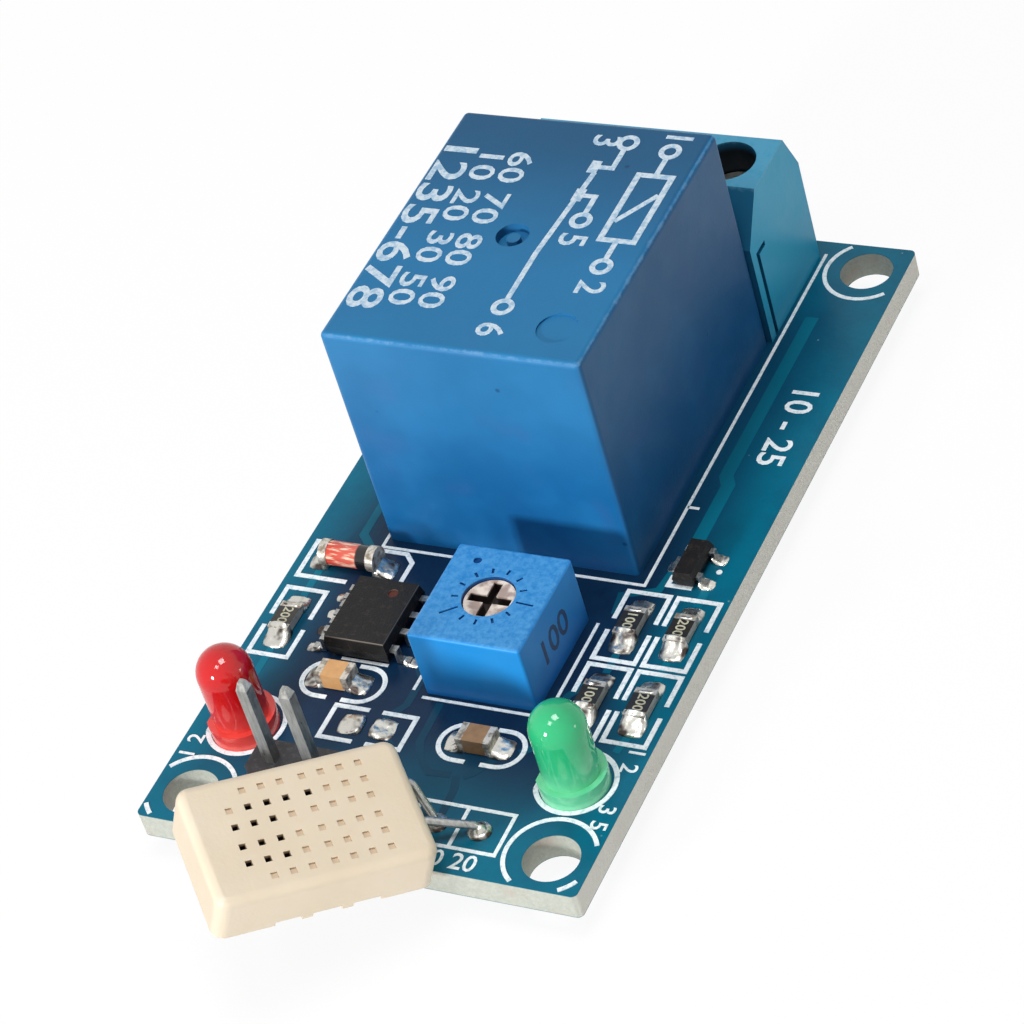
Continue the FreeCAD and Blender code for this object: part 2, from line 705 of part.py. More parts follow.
def lamp_lens(name, x, y, lead_frame):
    """A lens turned about its axis: rim, straight side and dome, with a flat on the rim."""
    body = document.addObject("PartDesign::Body", name + "_turned")
    sketch = new_sketch(body, "XZ", 0)
    spring = float(lamp_height) - float(lamp_radius)
    rim, side, rise, tip = map(float, (lamp_rim_radius, lamp_radius, lamp_rim_height, lamp_height))
    run = [(0, 0), (rim, 0), (rim, rise), (side, rise), (side, spring)]
    lines = [sketch.addGeometry(Part.LineSegment(Vector(*start, 0), Vector(*end, 0)), False)
             for start, end in zip(run, run[1:])]
    dome = Part.ArcOfCircle(Part.Circle(Vector(0, spring, 0), Vector(0, 0, 1), side), 0, math.pi / 2)
    arc = sketch.addGeometry(dome, False)
    axis = sketch.addGeometry(Part.LineSegment(Vector(0, tip, 0), Vector(0, 0, 0)), False)
    chain = lines + [arc, axis]
    for before, after in zip(chain, chain[1:] + chain[:1]):
        sketch.addConstraint(Sketcher.Constraint("Coincident", before, 2, after, 1))
    places = [(0, 0), (lamp_rim_radius, 0), (lamp_rim_radius, lamp_rim_height),
              (lamp_radius, lamp_rim_height)]
    for line, (across, up) in zip(lines, places):
        pin_point(sketch, line, 1, across, up)
    pin_point(sketch, arc, 1, lamp_radius, lamp_height - lamp_radius)
    pin_point(sketch, arc, 3, 0, lamp_height - lamp_radius)
    sketch.addConstraint(Sketcher.Constraint("PointOnObject", arc, 2, -2))
    turned = body.newObject("PartDesign::Revolution", name + "_turn")
    turned.Profile = sketch
    turned.ReferenceAxis = (sketch, ["V_Axis"])
    turned.Angle = 360
    put(body, x, y, top)
    flat = block(name + "_flat", (x - lamp_rim_radius, x - lamp_rim_radius + lamp_flat),
                 about(y, lamp_rim_radius), (top, top + lamp_rim_height))
    return keep(cut(name, body, [flat] + lead_frame), name)


for colour, side in (("red", -1), ("green", 1)):
    centre = lamp_x * side
    anvil_x = centre - lamp_lead_pitch / 2
    post_x = centre + lamp_lead_pitch / 2
    anvil_lead = square_lead(f"{colour}_anvil_lead", anvil_x, lamp_y, lamp_lead_half, top + lamp_anvil_height)
    anvil_head = block(f"{colour}_anvil_head", (anvil_x - lamp_lead_half, centre + lamp_anvil_reach / 2),
                       about(lamp_y, lamp_lead_half),
                       (top + lamp_anvil_height, top + lamp_anvil_height + lamp_anvil_head))
    post_lead = square_lead(f"{colour}_post_lead", post_x, lamp_y, lamp_lead_half, top + lamp_post_height)
    anvil = join(f"{colour}_anvil", [anvil_lead, anvil_head])
    lamp_lens(f"{colour}_lamp_lens", centre, lamp_y, [anvil, post_lead])
    keep(group(f"{colour}_lamp_leads", [anvil, post_lead]), f"{colour}_lamp_leads")


# Header: a notched black moulding on two square pins with pointed tips

header_x = size("header_x", -4.23)
header_y = size("header_y", -21.7)
header_pitch = size("header_pitch", 2.54)
header_depth = size("header_depth", 2.5)
header_height = size("header_height", 2.54)
header_notch = size("header_notch", 0.45)
header_pin_half = size("header_pin_half", 0.32)
header_pin_height = size("header_pin_height", 8.4)
header_tip = size("header_tip", 0.5)
header_tip_inset = size("header_tip_inset", 0.17)

header_front = header_y - header_depth / 2
header_back = header_y + header_depth / 2
header_outline = [
    (header_x - header_pitch, header_front + header_notch),
    (header_x - header_pitch + header_notch, header_front),
    (header_x - header_notch, header_front),
    (header_x, header_front + header_notch),
    (header_x + header_notch, header_front),
    (header_x + header_pitch - header_notch, header_front),
    (header_x + header_pitch, header_front + header_notch),
    (header_x + header_pitch, header_back - header_notch),
    (header_x + header_pitch - header_notch, header_back),
    (header_x + header_notch, header_back),
    (header_x, header_back - header_notch),
    (header_x - header_notch, header_back),
    (header_x - header_pitch + header_notch, header_back),
    (header_x - header_pitch, header_back - header_notch),
]
header_block = profile("header_block", "XY", header_outline, (top, top + header_height))
header_pins = []
for side in (-1, 1):
    pin_x = header_x + header_pitch / 2 * side
    pin_top = top + header_pin_height - header_tip
    stem = square_lead(f"header_stem_{side + 2}", pin_x, header_y, header_pin_half, pin_top)
    tip = sloped_block(f"header_tip_{side + 2}", about(pin_x, header_pin_half),
                       about(header_y, header_pin_half), (pin_top, top + header_pin_height),
                       as_length(0), header_tip_inset)
    header_pins.append(join(f"header_pin_{side + 2}", [stem, tip]))
keep(cut("header_base", header_block, header_pins), "header_base")
keep(group("header_pins", header_pins), "header_pins")


# Chip resistors and capacitors: ceramic blocks between two tinned ends, on soldered pads

chip_part_width = size("chip_part_width", 1.25)
chip_part_length = size("chip_part_length", 2.0)
chip_end_length = size("chip_end_length", 0.38)
resistor_height = size("resistor_height", 0.5)
capacitor_height = size("capacitor_height", 0.95)
solder_film = size("solder_film", 0.06)
pad_width = size("pad_width", 1.3)
pad_reach = size("pad_reach", 0.9)
fillet_height = size("fillet_height", 0.4)
empty_fillet_height = size("empty_fillet_height", 0.2)
resistor_right_x = size("resistor_right_x", 11.28)
resistor_middle_x = size("resistor_middle_x", 8.33)
resistor_left_x = size("resistor_left_x", -11.2)
resistor_back_y = size("resistor_back_y", -6.75)
resistor_front_y = size("resistor_front_y", -12.25)
resistor_left_y = size("resistor_left_y", -10.2)
capacitor_left_x = size("capacitor_left_x", -6.15)
capacitor_left_y = size("capacitor_left_y", -13.78)
capacitor_right_x = size("capacitor_right_x", 3.7)
capacitor_right_y = size("capacitor_right_y", -16.5)
empty_x = size("empty_x", -3.03)
empty_y = size("empty_y", -16.54)

part_floor = top + solder_film
solder_pads = []


def outward(centre, inner, outer, side):
    """The pair between two distances from a centre, to its lower (-1) or its upper (1) side."""
    if side > 0:
        return (centre + inner, centre + outer)
    return (centre - outer, centre - inner)


def solder_wedge(name, x, y, direction, height):
    """A pad with its fillet: highest where it meets the end of the part, thin at its outer edge."""
    along_x, along_y = direction
    high = top + solder_film
    half = pad_width / 2
    if along_x:
        film = block(name + "_film", outward(x, -chip_end_length, pad_reach, along_x), about(y, half),
                     (top, high))
        corners = [(x, high), (x + pad_reach * along_x, high), (x, high + height)]
        fillet = profile(name + "_fillet", "XZ", corners, about(y, half))
    else:
        film = block(name + "_film", about(x, half), outward(y, -chip_end_length, pad_reach, along_y),
                     (top, high))
        corners = [(y, high), (y + pad_reach * along_y, high), (y, high + height)]
        fillet = profile(name + "_fillet", "YZ", corners, about(x, half))
    solder_pads.append(join(name, [film, fillet]))


def chip_part(name, x, y, direction, height):
    """One chip: its ceramic and its two ends, laid along X or Y, with solder at both ends."""
    half_width = chip_part_width / 2
    half_length = chip_part_length / 2
    core_half = half_length - chip_end_length
    z = (part_floor, part_floor + height)
    ends = []
    if direction == "x":
        core = block(name, about(x, core_half), about(y, half_width), z)
        for side in (-1, 1):
            ends.append(block(f"{name}_end_{side + 2}", outward(x, core_half, half_length, side),
                              about(y, half_width), z))
            solder_wedge(f"{name}_solder_{side + 2}", x + half_length * side, y, (side, 0), fillet_height)
    else:
        core = block(name, about(x, half_width), about(y, core_half), z)
        for side in (-1, 1):
            ends.append(block(f"{name}_end_{side + 2}", about(x, half_width),
                              outward(y, core_half, half_length, side), z))
            solder_wedge(f"{name}_solder_{side + 2}", x, y + half_length * side, (0, side), fillet_height)
    keep(core, name)
    return ends


resistor_places = [
    (resistor_middle_x, resistor_back_y),
    (resistor_right_x, resistor_back_y),
    (resistor_middle_x, resistor_front_y),
    (resistor_right_x, resistor_front_y),
    (resistor_left_x, resistor_left_y),
]
resistor_ends = []
for number, (x, y) in enumerate(resistor_places, 1):
    resistor_ends += chip_part(f"resistor_{number}", x, y, "y", resistor_height)
keep(group("resistor_ends", resistor_ends), "resistor_ends")

capacitor_ends = []
capacitor_places = [(capacitor_left_x, capacitor_left_y), (capacitor_right_x, capacitor_right_y)]
for number, (x, y) in enumerate(capacitor_places, 1):
    capacitor_ends += chip_part(f"capacitor_{number}", x, y, "x", capacitor_height)
keep(group("capacitor_ends", capacitor_ends), "capacitor_ends")

for side in (-1, 1):
    solder_wedge(f"empty_pad_{side + 2}", empty_x + chip_part_length / 4 * side, empty_y, (side, 0),
                 empty_fillet_height)


# Glass diode: a glass tube between two plated end caps

diode_x = size("diode_x", -9.3)
diode_y = size("diode_y", -5.4)
diode_radius = size("diode_radius", 0.7)
diode_cap_radius = size("diode_cap_radius", 0.75)
diode_length = size("diode_length", 3.5)
diode_cap_length = size("diode_cap_length", 0.5)
diode_fillet_height = size("diode_fillet_height", 0.6)

diode_z = part_floor + diode_cap_radius
glass_half = diode_length / 2 - diode_cap_length
keep(rod("diode_glass", diode_radius, about(diode_x, glass_half), diode_y, diode_z), "diode_glass")
diode_caps = []
for side in (-1, 1):
    diode_caps.append(rod(f"diode_cap_{side + 2}", diode_cap_radius,
                          outward(diode_x, glass_half, diode_length / 2, side), diode_y, diode_z))
    solder_wedge(f"diode_solder_{side + 2}", diode_x + diode_length / 2 * side, diode_y, (side, 0),
                 diode_fillet_height)
keep(group("diode_ends", diode_caps), "diode_ends")


# Comparator and transistor: moulded bodies with a parting line at mid height, and gull-wing leads

chip_x = size("chip_x", -5.65)
chip_y = size("chip_y", -9.77)
chip_width = size("chip_width", 3.9)
chip_length = size("chip_length", 4.9)
chip_lift = size("chip_lift", 0.15)
chip_height = size("chip_height", 1.4)
mould_draft = size("mould_draft", 0.14)
pin_one_radius = size("pin_one_radius", 0.3)
pin_one_depth = size("pin_one_depth", 0.08)
pin_one_across = size("pin_one_across", 0.66)
pin_one_along = size("pin_one_along", 1.4)
chip_lead_pitch = size("chip_lead_pitch", 1.27)
chip_lead_half = size("chip_lead_half", 0.21)
chip_lead_reach = size("chip_lead_reach", 1.05)
chip_foot = size("chip_foot", 0.6)
lead_thickness = size("lead_thickness", 0.2)
transistor_x = size("transistor_x", 10.1)
transistor_y = size("transistor_y", -2.05)
transistor_width = size("transistor_width", 1.3)
transistor_length = size("transistor_length", 2.9)
transistor_height = size("transistor_height", 0.95)
transistor_lift = size("transistor_lift", 0.06)
transistor_lead_pitch = size("transistor_lead_pitch", 0.95)
transistor_lead_reach = size("transistor_lead_reach", 0.6)
transistor_foot = size("transistor_foot", 0.3)
film_margin = size("film_margin", 0.1)


def moulded_body(name, x, y, half_width, half_length, low, height):
    """A body that is widest at its parting line and drawn in above and below."""
    middle = low + height / 2
    under = sloped_block(name + "_under", about(x, half_width), about(y, half_length), (low, middle),
                         mould_draft, as_length(0))
    over = sloped_block(name + "_over", about(x, half_width), about(y, half_length), (middle, low + height),
                        as_length(0), mould_draft)
    return join(name, [under, over])


def gull_lead(name, edge_x, side, y, reach, foot, shoulder):
    """One bent lead: out of the body at mid height, down, and out again along its pad."""
    neck = edge_x + (reach - foot) * side
    corners = [
        (edge_x, shoulder - lead_thickness / 2),
        (neck - lead_thickness * side, shoulder - lead_thickness / 2),
        (neck - lead_thickness * side, part_floor),
        (edge_x + reach * side, part_floor),
        (edge_x + reach * side, part_floor + lead_thickness),
        (neck, part_floor + lead_thickness),
        (neck, shoulder + lead_thickness / 2),
        (edge_x, shoulder + lead_thickness / 2),
    ]
    return profile(name, "XZ", corners, about(y, chip_lead_half))


chip_low = part_floor + chip_lift
chip_top = chip_low + chip_height
chip_whole = moulded_body("chip_whole", chip_x, chip_y, chip_width / 2, chip_length / 2,
                          chip_low, chip_height)
pin_one_mark = rod("pin_one_mark", pin_one_radius, chip_x + pin_one_across, chip_y + pin_one_along,
                   (chip_top - pin_one_depth, chip_top))
keep(cut("chip_body", chip_whole, [pin_one_mark]), "chip_body")
chip_leads = []
for side in (-1, 1):
    for row in range(4):
        name = f"chip_lead_{side + 2}_{row + 1}"
        lead_y = chip_y + chip_lead_pitch * (row - 1.5)
        edge = chip_x + chip_width / 2 * side
        chip_leads.append(gull_lead(name, edge, side, lead_y, chip_lead_reach, chip_foot,
                                    chip_low + chip_height / 2))
keep(group("chip_leads", chip_leads), "chip_leads")

transistor_low = part_floor + transistor_lift
keep(moulded_body("transistor_body", transistor_x, transistor_y, transistor_width / 2,
                  transistor_length / 2, transistor_low, transistor_height), "transistor_body")
transistor_leads = []
for number, (side, row) in enumerate(((-1, 0), (1, -1), (1, 1)), 1):
    edge = transistor_x + transistor_width / 2 * side
    transistor_leads.append(gull_lead(f"transistor_lead_{number}", edge, side,
                                      transistor_y + transistor_lead_pitch * row, transistor_lead_reach,
                                      transistor_foot, transistor_low + transistor_height / 2))
keep(group("transistor_leads", transistor_leads), "transistor_leads")

lead_films = []
for side in (-1, 1):
    for row in range(4):
        foot_end = chip_width / 2 + chip_lead_reach
        span = outward(chip_x, foot_end - chip_foot, foot_end + lead_thickness, side)
        lead_films.append(block(f"chip_film_{side + 2}_{row + 1}", span,
                                about(chip_y + chip_lead_pitch * (row - 1.5), chip_lead_half + film_margin),
                                (top, part_floor)))
for number, (side, row) in enumerate(((-1, 0), (1, -1), (1, 1)), 1):
    foot_end = transistor_width / 2 + transistor_lead_reach
    span = outward(transistor_x, foot_end - transistor_foot, foot_end + lead_thickness, side)
    lead_films.append(block(f"transistor_film_{number}", span,
                            about(transistor_y + transistor_lead_pitch * row, chip_lead_half + film_margin),
                            (top, part_floor)))


# Sensor: a perforated cover over the sensing plate, tilted in front of the board on two bent leads.
# It is built flat in its own frame, face up, with X towards its leads, and then tilted into place.

sensor_x = size("sensor_x", 0.53)
sensor_y = size("sensor_y", -27.57)
sensor_above_board = size("sensor_above_board", 5.62)
sensor_turn_angle = size("sensor_turn_angle", 47.06)
sensor_dip_angle = size("sensor_dip_angle", 15.68)
sensor_roll_angle = size("sensor_roll_angle", 16.95)
case_length = size("case_length", 11.75)
case_width = size("case_width", 7.3)
case_depth = size("case_depth", 3.1)
case_wall = size("case_wall", 0.7)
case_face = size("case_face", 0.8)
case_corner_radius = size("case_corner_radius", 0.7)
case_face_radius = size("case_face_radius", 0.5)
hole_side = size("hole_side", 0.36)
hole_pitch = size("hole_pitch", 1.0)
hole_middle_gap = size("hole_middle_gap", 1.18)
dimple_depth = size("dimple_depth", 0.12)
rim_notch_start = size("rim_notch_start", -2.65)
rim_notch_end = size("rim_notch_end", 3.0)
rim_notch_depth = size("rim_notch_depth", 0.3)
rim_tab_half = size("rim_tab_half", 0.3)
rim_tab_left = size("rim_tab_left", -0.95)
rim_tab_right = size("rim_tab_right", 1.2)
sensing_plate_thickness = size("sensing_plate_thickness", 0.6)
sensing_plate_gap = size("sensing_plate_gap", 0.75)
sensor_lead_radius = size("sensor_lead_radius", 0.23)
sensor_lead_pitch = size("sensor_lead_pitch", 2.54)
sensor_lead_offset = size("sensor_lead_offset", 0.97)
sensor_lead_inside = size("sensor_lead_inside", 1.6)
sensor_lead_stub = size("sensor_lead_stub", 0.7)
sensor_lead_bend = size("sensor_lead_bend", 0.55)
sensor_hole_x = size("sensor_hole_x", 4.96)
sensor_hole_y = size("sensor_hole_y", -22.0)
back_plate_thickness = size("back_plate_thickness", 0.4)

sensor_rotation = FreeCAD.Rotation(float(sensor_turn_angle), float(sensor_dip_angle),
                                   float(sensor_roll_angle))
sensor_base = Vector(float(sensor_x), float(sensor_y), float(top + sensor_above_board))
sensor_place = FreeCAD.Placement(sensor_base, sensor_rotation)
case_half = case_length / 2
side_half = case_width / 2
case_rim = -case_depth
sensing_top = -case_face - sensing_plate_gap
sensing_under = sensing_top - sensing_plate_thickness
sensor_lead_z = sensing_under - sensor_lead_radius


def tilt(item):
    """Move a piece from the sensor's own frame to its place on the board."""
    item.Placement = sensor_place
    return item


case_block = block("case_block", about(as_length(0), case_half), about(as_length(0), side_half),
                   (case_rim, as_length(0)))
case_corners = eased("case_corners", "Fillet", case_block, case_corner_radius, is_upright)
case_rounded = eased("case_rounded", "Fillet", case_corners, case_face_radius,
                     lambda edge: edge.BoundBox.ZMin > -1e-6)
case_cuts = [
    block("case_room", about(as_length(0), case_half - case_wall), about(as_length(0), side_half - case_wall),
          (case_rim, -case_face)),
    block("rim_notch", (rim_notch_start, rim_notch_end), (-side_half, case_wall - side_half),
          (case_rim, case_rim + rim_notch_depth)),
]
for side in (-1, 1):
    case_cuts.append(block(f"lead_notch_{side + 2}", (case_half - case_wall, case_half),
                           about(sensor_lead_offset + sensor_lead_pitch / 2 * side,
                                 sensor_lead_radius + running_gap),
                           (case_rim, sensor_lead_z + sensor_lead_radius + running_gap)))

columns = [hole_pitch * (step - 3.5) + (hole_middle_gap - hole_pitch) * (0.5 if step > 3 else -0.5)
           for step in range(8)]
rows = [hole_pitch * (2.5 - step) + (hole_middle_gap - hole_pitch) * (0.5 if step < 3 else -0.5)
        for step in range(6)]
for row, across in enumerate(rows):
    for column, along in enumerate(columns):
        if column == 0 and row in (0, 5):
            continue
        pierced = (row == 1 and 1 <= column <= 4) or (row in (2, 3, 4) and column <= 2)
        depth = -case_face if pierced else -dimple_depth
        case_cuts.append(block(f"perforation_{row + 1}_{column + 1}", about(along, hole_side / 2),
                               about(across, hole_side / 2), (depth, as_length(0))))
tilt(keep(cut("sensor_cover", case_rounded, case_cuts), "sensor_cover"))

sensing_plate = block("sensing_plate", about(as_length(0), case_half - case_wall - running_gap),
                      about(as_length(0), side_half - case_wall - running_gap), (sensing_under, sensing_top))
tilt(keep(group("sensor_plate", [sensing_plate]), "sensor_plate"))

back_plate = block("back_plate", about(as_length(0), case_half - case_wall - running_gap),
                   about(as_length(0), side_half - case_wall - running_gap),
                   (case_rim, case_rim + back_plate_thickness))
back_tabs = [block(f"back_tab_{number}", about(place, rim_tab_half),
                   (-side_half, case_wall - side_half + running_gap), (case_rim, case_rim + rim_notch_depth))
             for number, place in enumerate((rim_tab_left, rim_tab_right), 1)]
tilt(keep(join("sensor_back", [back_plate] + back_tabs), "sensor_back"))


def bent_wire(points, radius, bend):
    """A round wire through the points, with an arc of the same bend radius at each corner."""
    edges = []
    start = points[0]
    for before, corner, after in zip(points, points[1:], points[2:]):
        way_in = (corner - before).normalize()
        way_out = (after - corner).normalize()
        turn = way_in.getAngle(way_out)
        setback = bend * math.tan(turn / 2)
        arc_start = corner - way_in * setback
        arc_end = corner + way_out * setback
        inward = (way_out - way_in).normalize()
        middle = corner + inward * (bend / math.cos(turn / 2) - bend)
        edges.append(Part.LineSegment(start, arc_start).toShape())
        edges.append(Part.Arc(arc_start, middle, arc_end).toShape())
        start = arc_end
    edges.append(Part.LineSegment(start, points[-1]).toShape())
    path = Part.Wire(edges)
    disc = Part.Face(Part.Wire(Part.Circle(points[0], points[1] - points[0], radius).toShape()))
    return path.makePipe(disc)


sensor_wires = []
for number, side in enumerate((1, -1), 1):
    across = sensor_lead_offset + sensor_lead_pitch / 2 * side
    inside = Vector(float(case_half - case_wall - sensor_lead_inside), float(across), float(sensor_lead_z))
    outside = Vector(float(case_half + sensor_lead_stub), float(across), float(sensor_lead_z))
    hole_x = sensor_hole_x - sensor_lead_pitch / 2 * side
    over_hole = Vector(float(hole_x), float(sensor_hole_y), float(top + sensor_lead_radius * 2))
    tail_end = Vector(float(hole_x), float(sensor_hole_y), float(tail))
    route = [sensor_place.multVec(inside), sensor_place.multVec(outside), over_hole, tail_end]
    wire = document.addObject("Part::Feature", f"sensor_wire_{number}")
    wire.Shape = bent_wire(route, float(sensor_lead_radius), float(sensor_lead_bend))
    sensor_wires.append(wire)
    drill(hole_x, sensor_hole_y, sensor_lead_radius + hole_clearance)
    board_tails.append((hole_x, sensor_hole_y, sensor_lead_radius))
keep(group("sensor_leads", sensor_wires), "sensor_leads")


# Solder: pads and fillets on top, and a cone round every tail underneath

solder_cone_height = size("solder_cone_height", 0.9)
solder_ring = size("solder_ring", 0.45)

keep(group("solder_top", solder_pads + lead_films), "solder_top")

tail_cones = []
for number, (x, y, half) in enumerate(board_tails, 1):
    whole = cone(f"tail_cone_{number}", half + solder_film, half + solder_ring, x, y,
                 (-solder_cone_height, as_length(0)))
    tail_cones.append(whole)
all_leads = [upper_contact, lower_contact, common_strip] + coil_pins + trimmer_pins
all_leads += header_pins + sensor_wires
all_leads += [document.getObject(f"terminal_pin_{number}") for number in (1, 2, 3)]
for colour in ("red", "green"):
    all_leads.append(document.getObject(f"{colour}_anvil"))
    all_leads.append(document.getObject(f"{colour}_post_lead"))
keep(cut("solder_under", join("all_cones", tail_cones), all_leads), "solder_under")


# Circuit board: cut from its outline, with the four mounting holes and a hole for each lead

board_block = block("board_block", about(as_length(0), board_width / 2),
                    about(as_length(0), board_length / 2), (as_length(0), top))
board_rounded = eased("board_rounded", "Fillet", board_block, board_corner_radius, is_upright)
board_cuts = []
for across in (-1, 1):
    for along in (-1, 1):
        board_cuts.append(rod(f"mounting_hole_{across + 2}_{along + 2}", mounting_hole_diameter / 2,
                              hole_spacing_across / 2 * across, hole_spacing_along / 2 * along,
                              (as_length(0), top)))
for number, (x, y, radius) in enumerate(lead_holes, 1):
    board_cuts.append(rod(f"lead_hole_{number}", radius, x, y, (as_length(0), top)))
keep(cut("circuit_board", board_rounded, board_cuts), "circuit_board")


# Check every object, then write one file for each sub-part

document.recompute()
for item in document.Objects:
    if "Invalid" in item.State or "Error" in item.State:
        raise RuntimeError(f"{item.Label} did not build: {item.State}")
for item in sub_parts:
    if item.Shape.isNull() or not item.Shape.isValid() or not item.Shape.Solids:
        raise RuntimeError(f"{item.Label} has no valid solid")
os.makedirs("parts", exist_ok=True)
for item in sub_parts:
    item.Shape.exportStep(f"parts/{item.Label}.step")
    print(item.Label, len(item.Shape.Solids), "solids", round(item.Shape.Volume, 3), "mm3")
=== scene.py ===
import math

import bmesh
import bpy
from mathutils import Euler, Matrix, Vector


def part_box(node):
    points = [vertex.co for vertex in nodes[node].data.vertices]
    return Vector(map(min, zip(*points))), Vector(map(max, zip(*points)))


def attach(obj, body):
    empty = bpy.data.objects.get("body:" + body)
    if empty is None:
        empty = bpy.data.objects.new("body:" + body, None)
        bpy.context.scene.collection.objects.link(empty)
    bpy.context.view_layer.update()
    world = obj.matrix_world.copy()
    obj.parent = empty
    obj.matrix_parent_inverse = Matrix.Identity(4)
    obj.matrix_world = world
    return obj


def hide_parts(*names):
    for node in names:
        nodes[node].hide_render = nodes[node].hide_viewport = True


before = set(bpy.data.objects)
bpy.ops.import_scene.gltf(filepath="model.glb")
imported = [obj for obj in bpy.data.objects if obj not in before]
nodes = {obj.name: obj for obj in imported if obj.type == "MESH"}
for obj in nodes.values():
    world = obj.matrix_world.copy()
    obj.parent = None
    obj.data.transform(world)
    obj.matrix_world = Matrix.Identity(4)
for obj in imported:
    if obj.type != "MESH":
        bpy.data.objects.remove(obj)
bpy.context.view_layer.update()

# The studio: the camera stands where the photograph's did, in front and to the right.
# A low key lamp from the front left throws the trimmer's shadow on the relay, softer
# lamps fill from above and the side, and a pale floor lies under the solder tails.


def shade(red, green, blue):
    """A colour from its 0 to 255 values on a screen."""
    parts = [value / 255 for value in (red, green, blue)]
    return [part / 12.92 if part <= 0.04045 else ((part + 0.055) / 1.055) ** 2.4 for part in parts] + [1.0]


class Socket:
    """A number, colour or vector inside a finish. Sums written with it add Math nodes."""

    def __init__(self, finish, out):
        self.finish = finish
        self.out = out

    def maths(self, operation, *values):
        return self.finish.add("ShaderNodeMath", {"operation": operation}, dict(enumerate(values)))

    def __add__(self, other):
        return self.maths("ADD", self, other)

    __radd__ = __add__

    def __mul__(self, other):
        return self.maths("MULTIPLY", self, other)

    __rmul__ = __mul__

    def __sub__(self, other):
        return self.maths("SUBTRACT", self, other)

    def __rsub__(self, other):
        return self.maths("SUBTRACT", other, self)

    def __truediv__(self, other):
        return self.maths("DIVIDE", self, other)

    def __rtruediv__(self, other):
        return self.maths("DIVIDE", other, self)

    def __pow__(self, other):
        return self.maths("POWER", self, other)

    def __abs__(self):
        return self.maths("ABSOLUTE", self)

    def least(self, other):
        return self.maths("MINIMUM", self, other)

    def most(self, other):
        return self.maths("MAXIMUM", self, other)


class NodeWork:
    """A tree of nodes that is made and joined in code."""

    def __init__(self, tree):
        self.tree = tree
        self.tree.nodes.clear()

    def add(self, kind, settings=None, inputs=None, output=0):
        """Any node: its type, its settings, what its sockets get, and which output is used."""
        node = self.tree.nodes.new(kind)
        for name, value in (settings or {}).items():
            setattr(node, name, value)
        for name, value in (inputs or {}).items():
            self.join(node.inputs[name], value)
        return Socket(self, node.outputs[output])

    def join(self, socket, value):
        if isinstance(value, Socket):
            self.tree.links.new(value.out, socket)
        else:
            socket.default_value = value


class Finish(NodeWork):
    """The look of one surface: a shader, and the nodes that vary it, with places in millimetres."""

    def __init__(self, name, colour, roughness, **fixed):
        self.material = bpy.data.materials.new(name)
        self.material.use_nodes = True
        super().__init__(self.material.node_tree)
        self.output = self.tree.nodes.new("ShaderNodeOutputMaterial")
        self.shader = self.tree.nodes.new("ShaderNodeBsdfPrincipled")
        self.tree.links.new(self.shader.outputs[0], self.output.inputs[0])
        self.wear({"Base Color": colour, "Roughness": roughness})
        self.wear({socket.replace("_", " "): value for socket, value in fixed.items()})
        metres = self.add("ShaderNodeTexCoord", output="Object")
        self.place = self.add("ShaderNodeVectorMath", {"operation": "SCALE"}, {0: metres, "Scale": 1000.0})
        self.facing = self.add("ShaderNodeTexCoord", output="Normal")

    def wear(self, values):
        for name, value in values.items():
            self.join(self.shader.inputs[name], value)

    def along(self, axis, of=None):
        return self.add("ShaderNodeSeparateXYZ", inputs={0: of or self.place}, output=axis)

    def cloud(self, size, detail=2.0, rough=0.5, at=None):
        """Soft random patches of about that size, from 0 to 1."""
        return self.add("ShaderNodeTexNoise", inputs={"Vector": at or self.place, "Scale": 1 / size,
                                                      "Detail": detail, "Roughness": rough})

    def specks(self, size):
        """Distance from scattered points about that far apart, 0 at a point."""
        return self.add("ShaderNodeTexVoronoi", inputs={"Vector": self.place, "Scale": 1 / size})

    def ramp(self, value, low, high):
        """0 where the value is at low and 1 where it is at high, with soft ends."""
        return self.add("ShaderNodeMapRange", {"interpolation_type": "SMOOTHSTEP"},
                        {"Value": value, "From Min": low, "From Max": high})

    def mix(self, factor, first, second):
        return self.add("ShaderNodeMix", {"data_type": "RGBA"}, {0: factor, 6: first, 7: second}, 2)

    def relief(self, height, depth):
        """A bumped normal, with its depth in millimetres."""
        return self.add("ShaderNodeBump",
                        inputs={"Height": height, "Distance": depth / 1000, "Strength": 1.0})

    def dress(self, *pieces):
        for piece in pieces:
            piece.data.materials.clear()
            piece.data.materials.append(self.material)


eye = bpy.data.cameras.new("photo_camera")
eye.lens, eye.sensor_width, eye.clip_start = 137.03, 36, 0.01
camera = bpy.data.objects.new("photo_camera", eye)
camera.location = (0.09438, -0.13085, 0.14395)
camera.rotation_euler = [math.radians(turn) for turn in (47.445, 13.246, 24.452)]
bpy.context.scene.collection.objects.link(camera)
bpy.context.scene.camera = camera

lamp_aim = Vector((0, 0, 0.006))
for lamp_name, place, watts, span in (("key", (-0.130, -0.420, 0.140), 1.4, 0.07),
                                      ("overhead", (0.04, -0.03, 0.45), 1.0, 0.16),
                                      ("front", (-0.04, -0.22, 0.39), 0.35, 0.10),
                                      ("side", (0.44, 0.09, 0.05), 0.07, 0.06)):
    lamp = bpy.data.lights.new(lamp_name, "AREA")
    lamp.energy, lamp.size = watts, span
    lamp_stand = bpy.data.objects.new(lamp_name, lamp)
    lamp_stand.location = place
    lamp_stand.rotation_euler = (lamp_aim - Vector(place)).to_track_quat("-Z", "Y").to_euler()
    bpy.context.scene.collection.objects.link(lamp_stand)

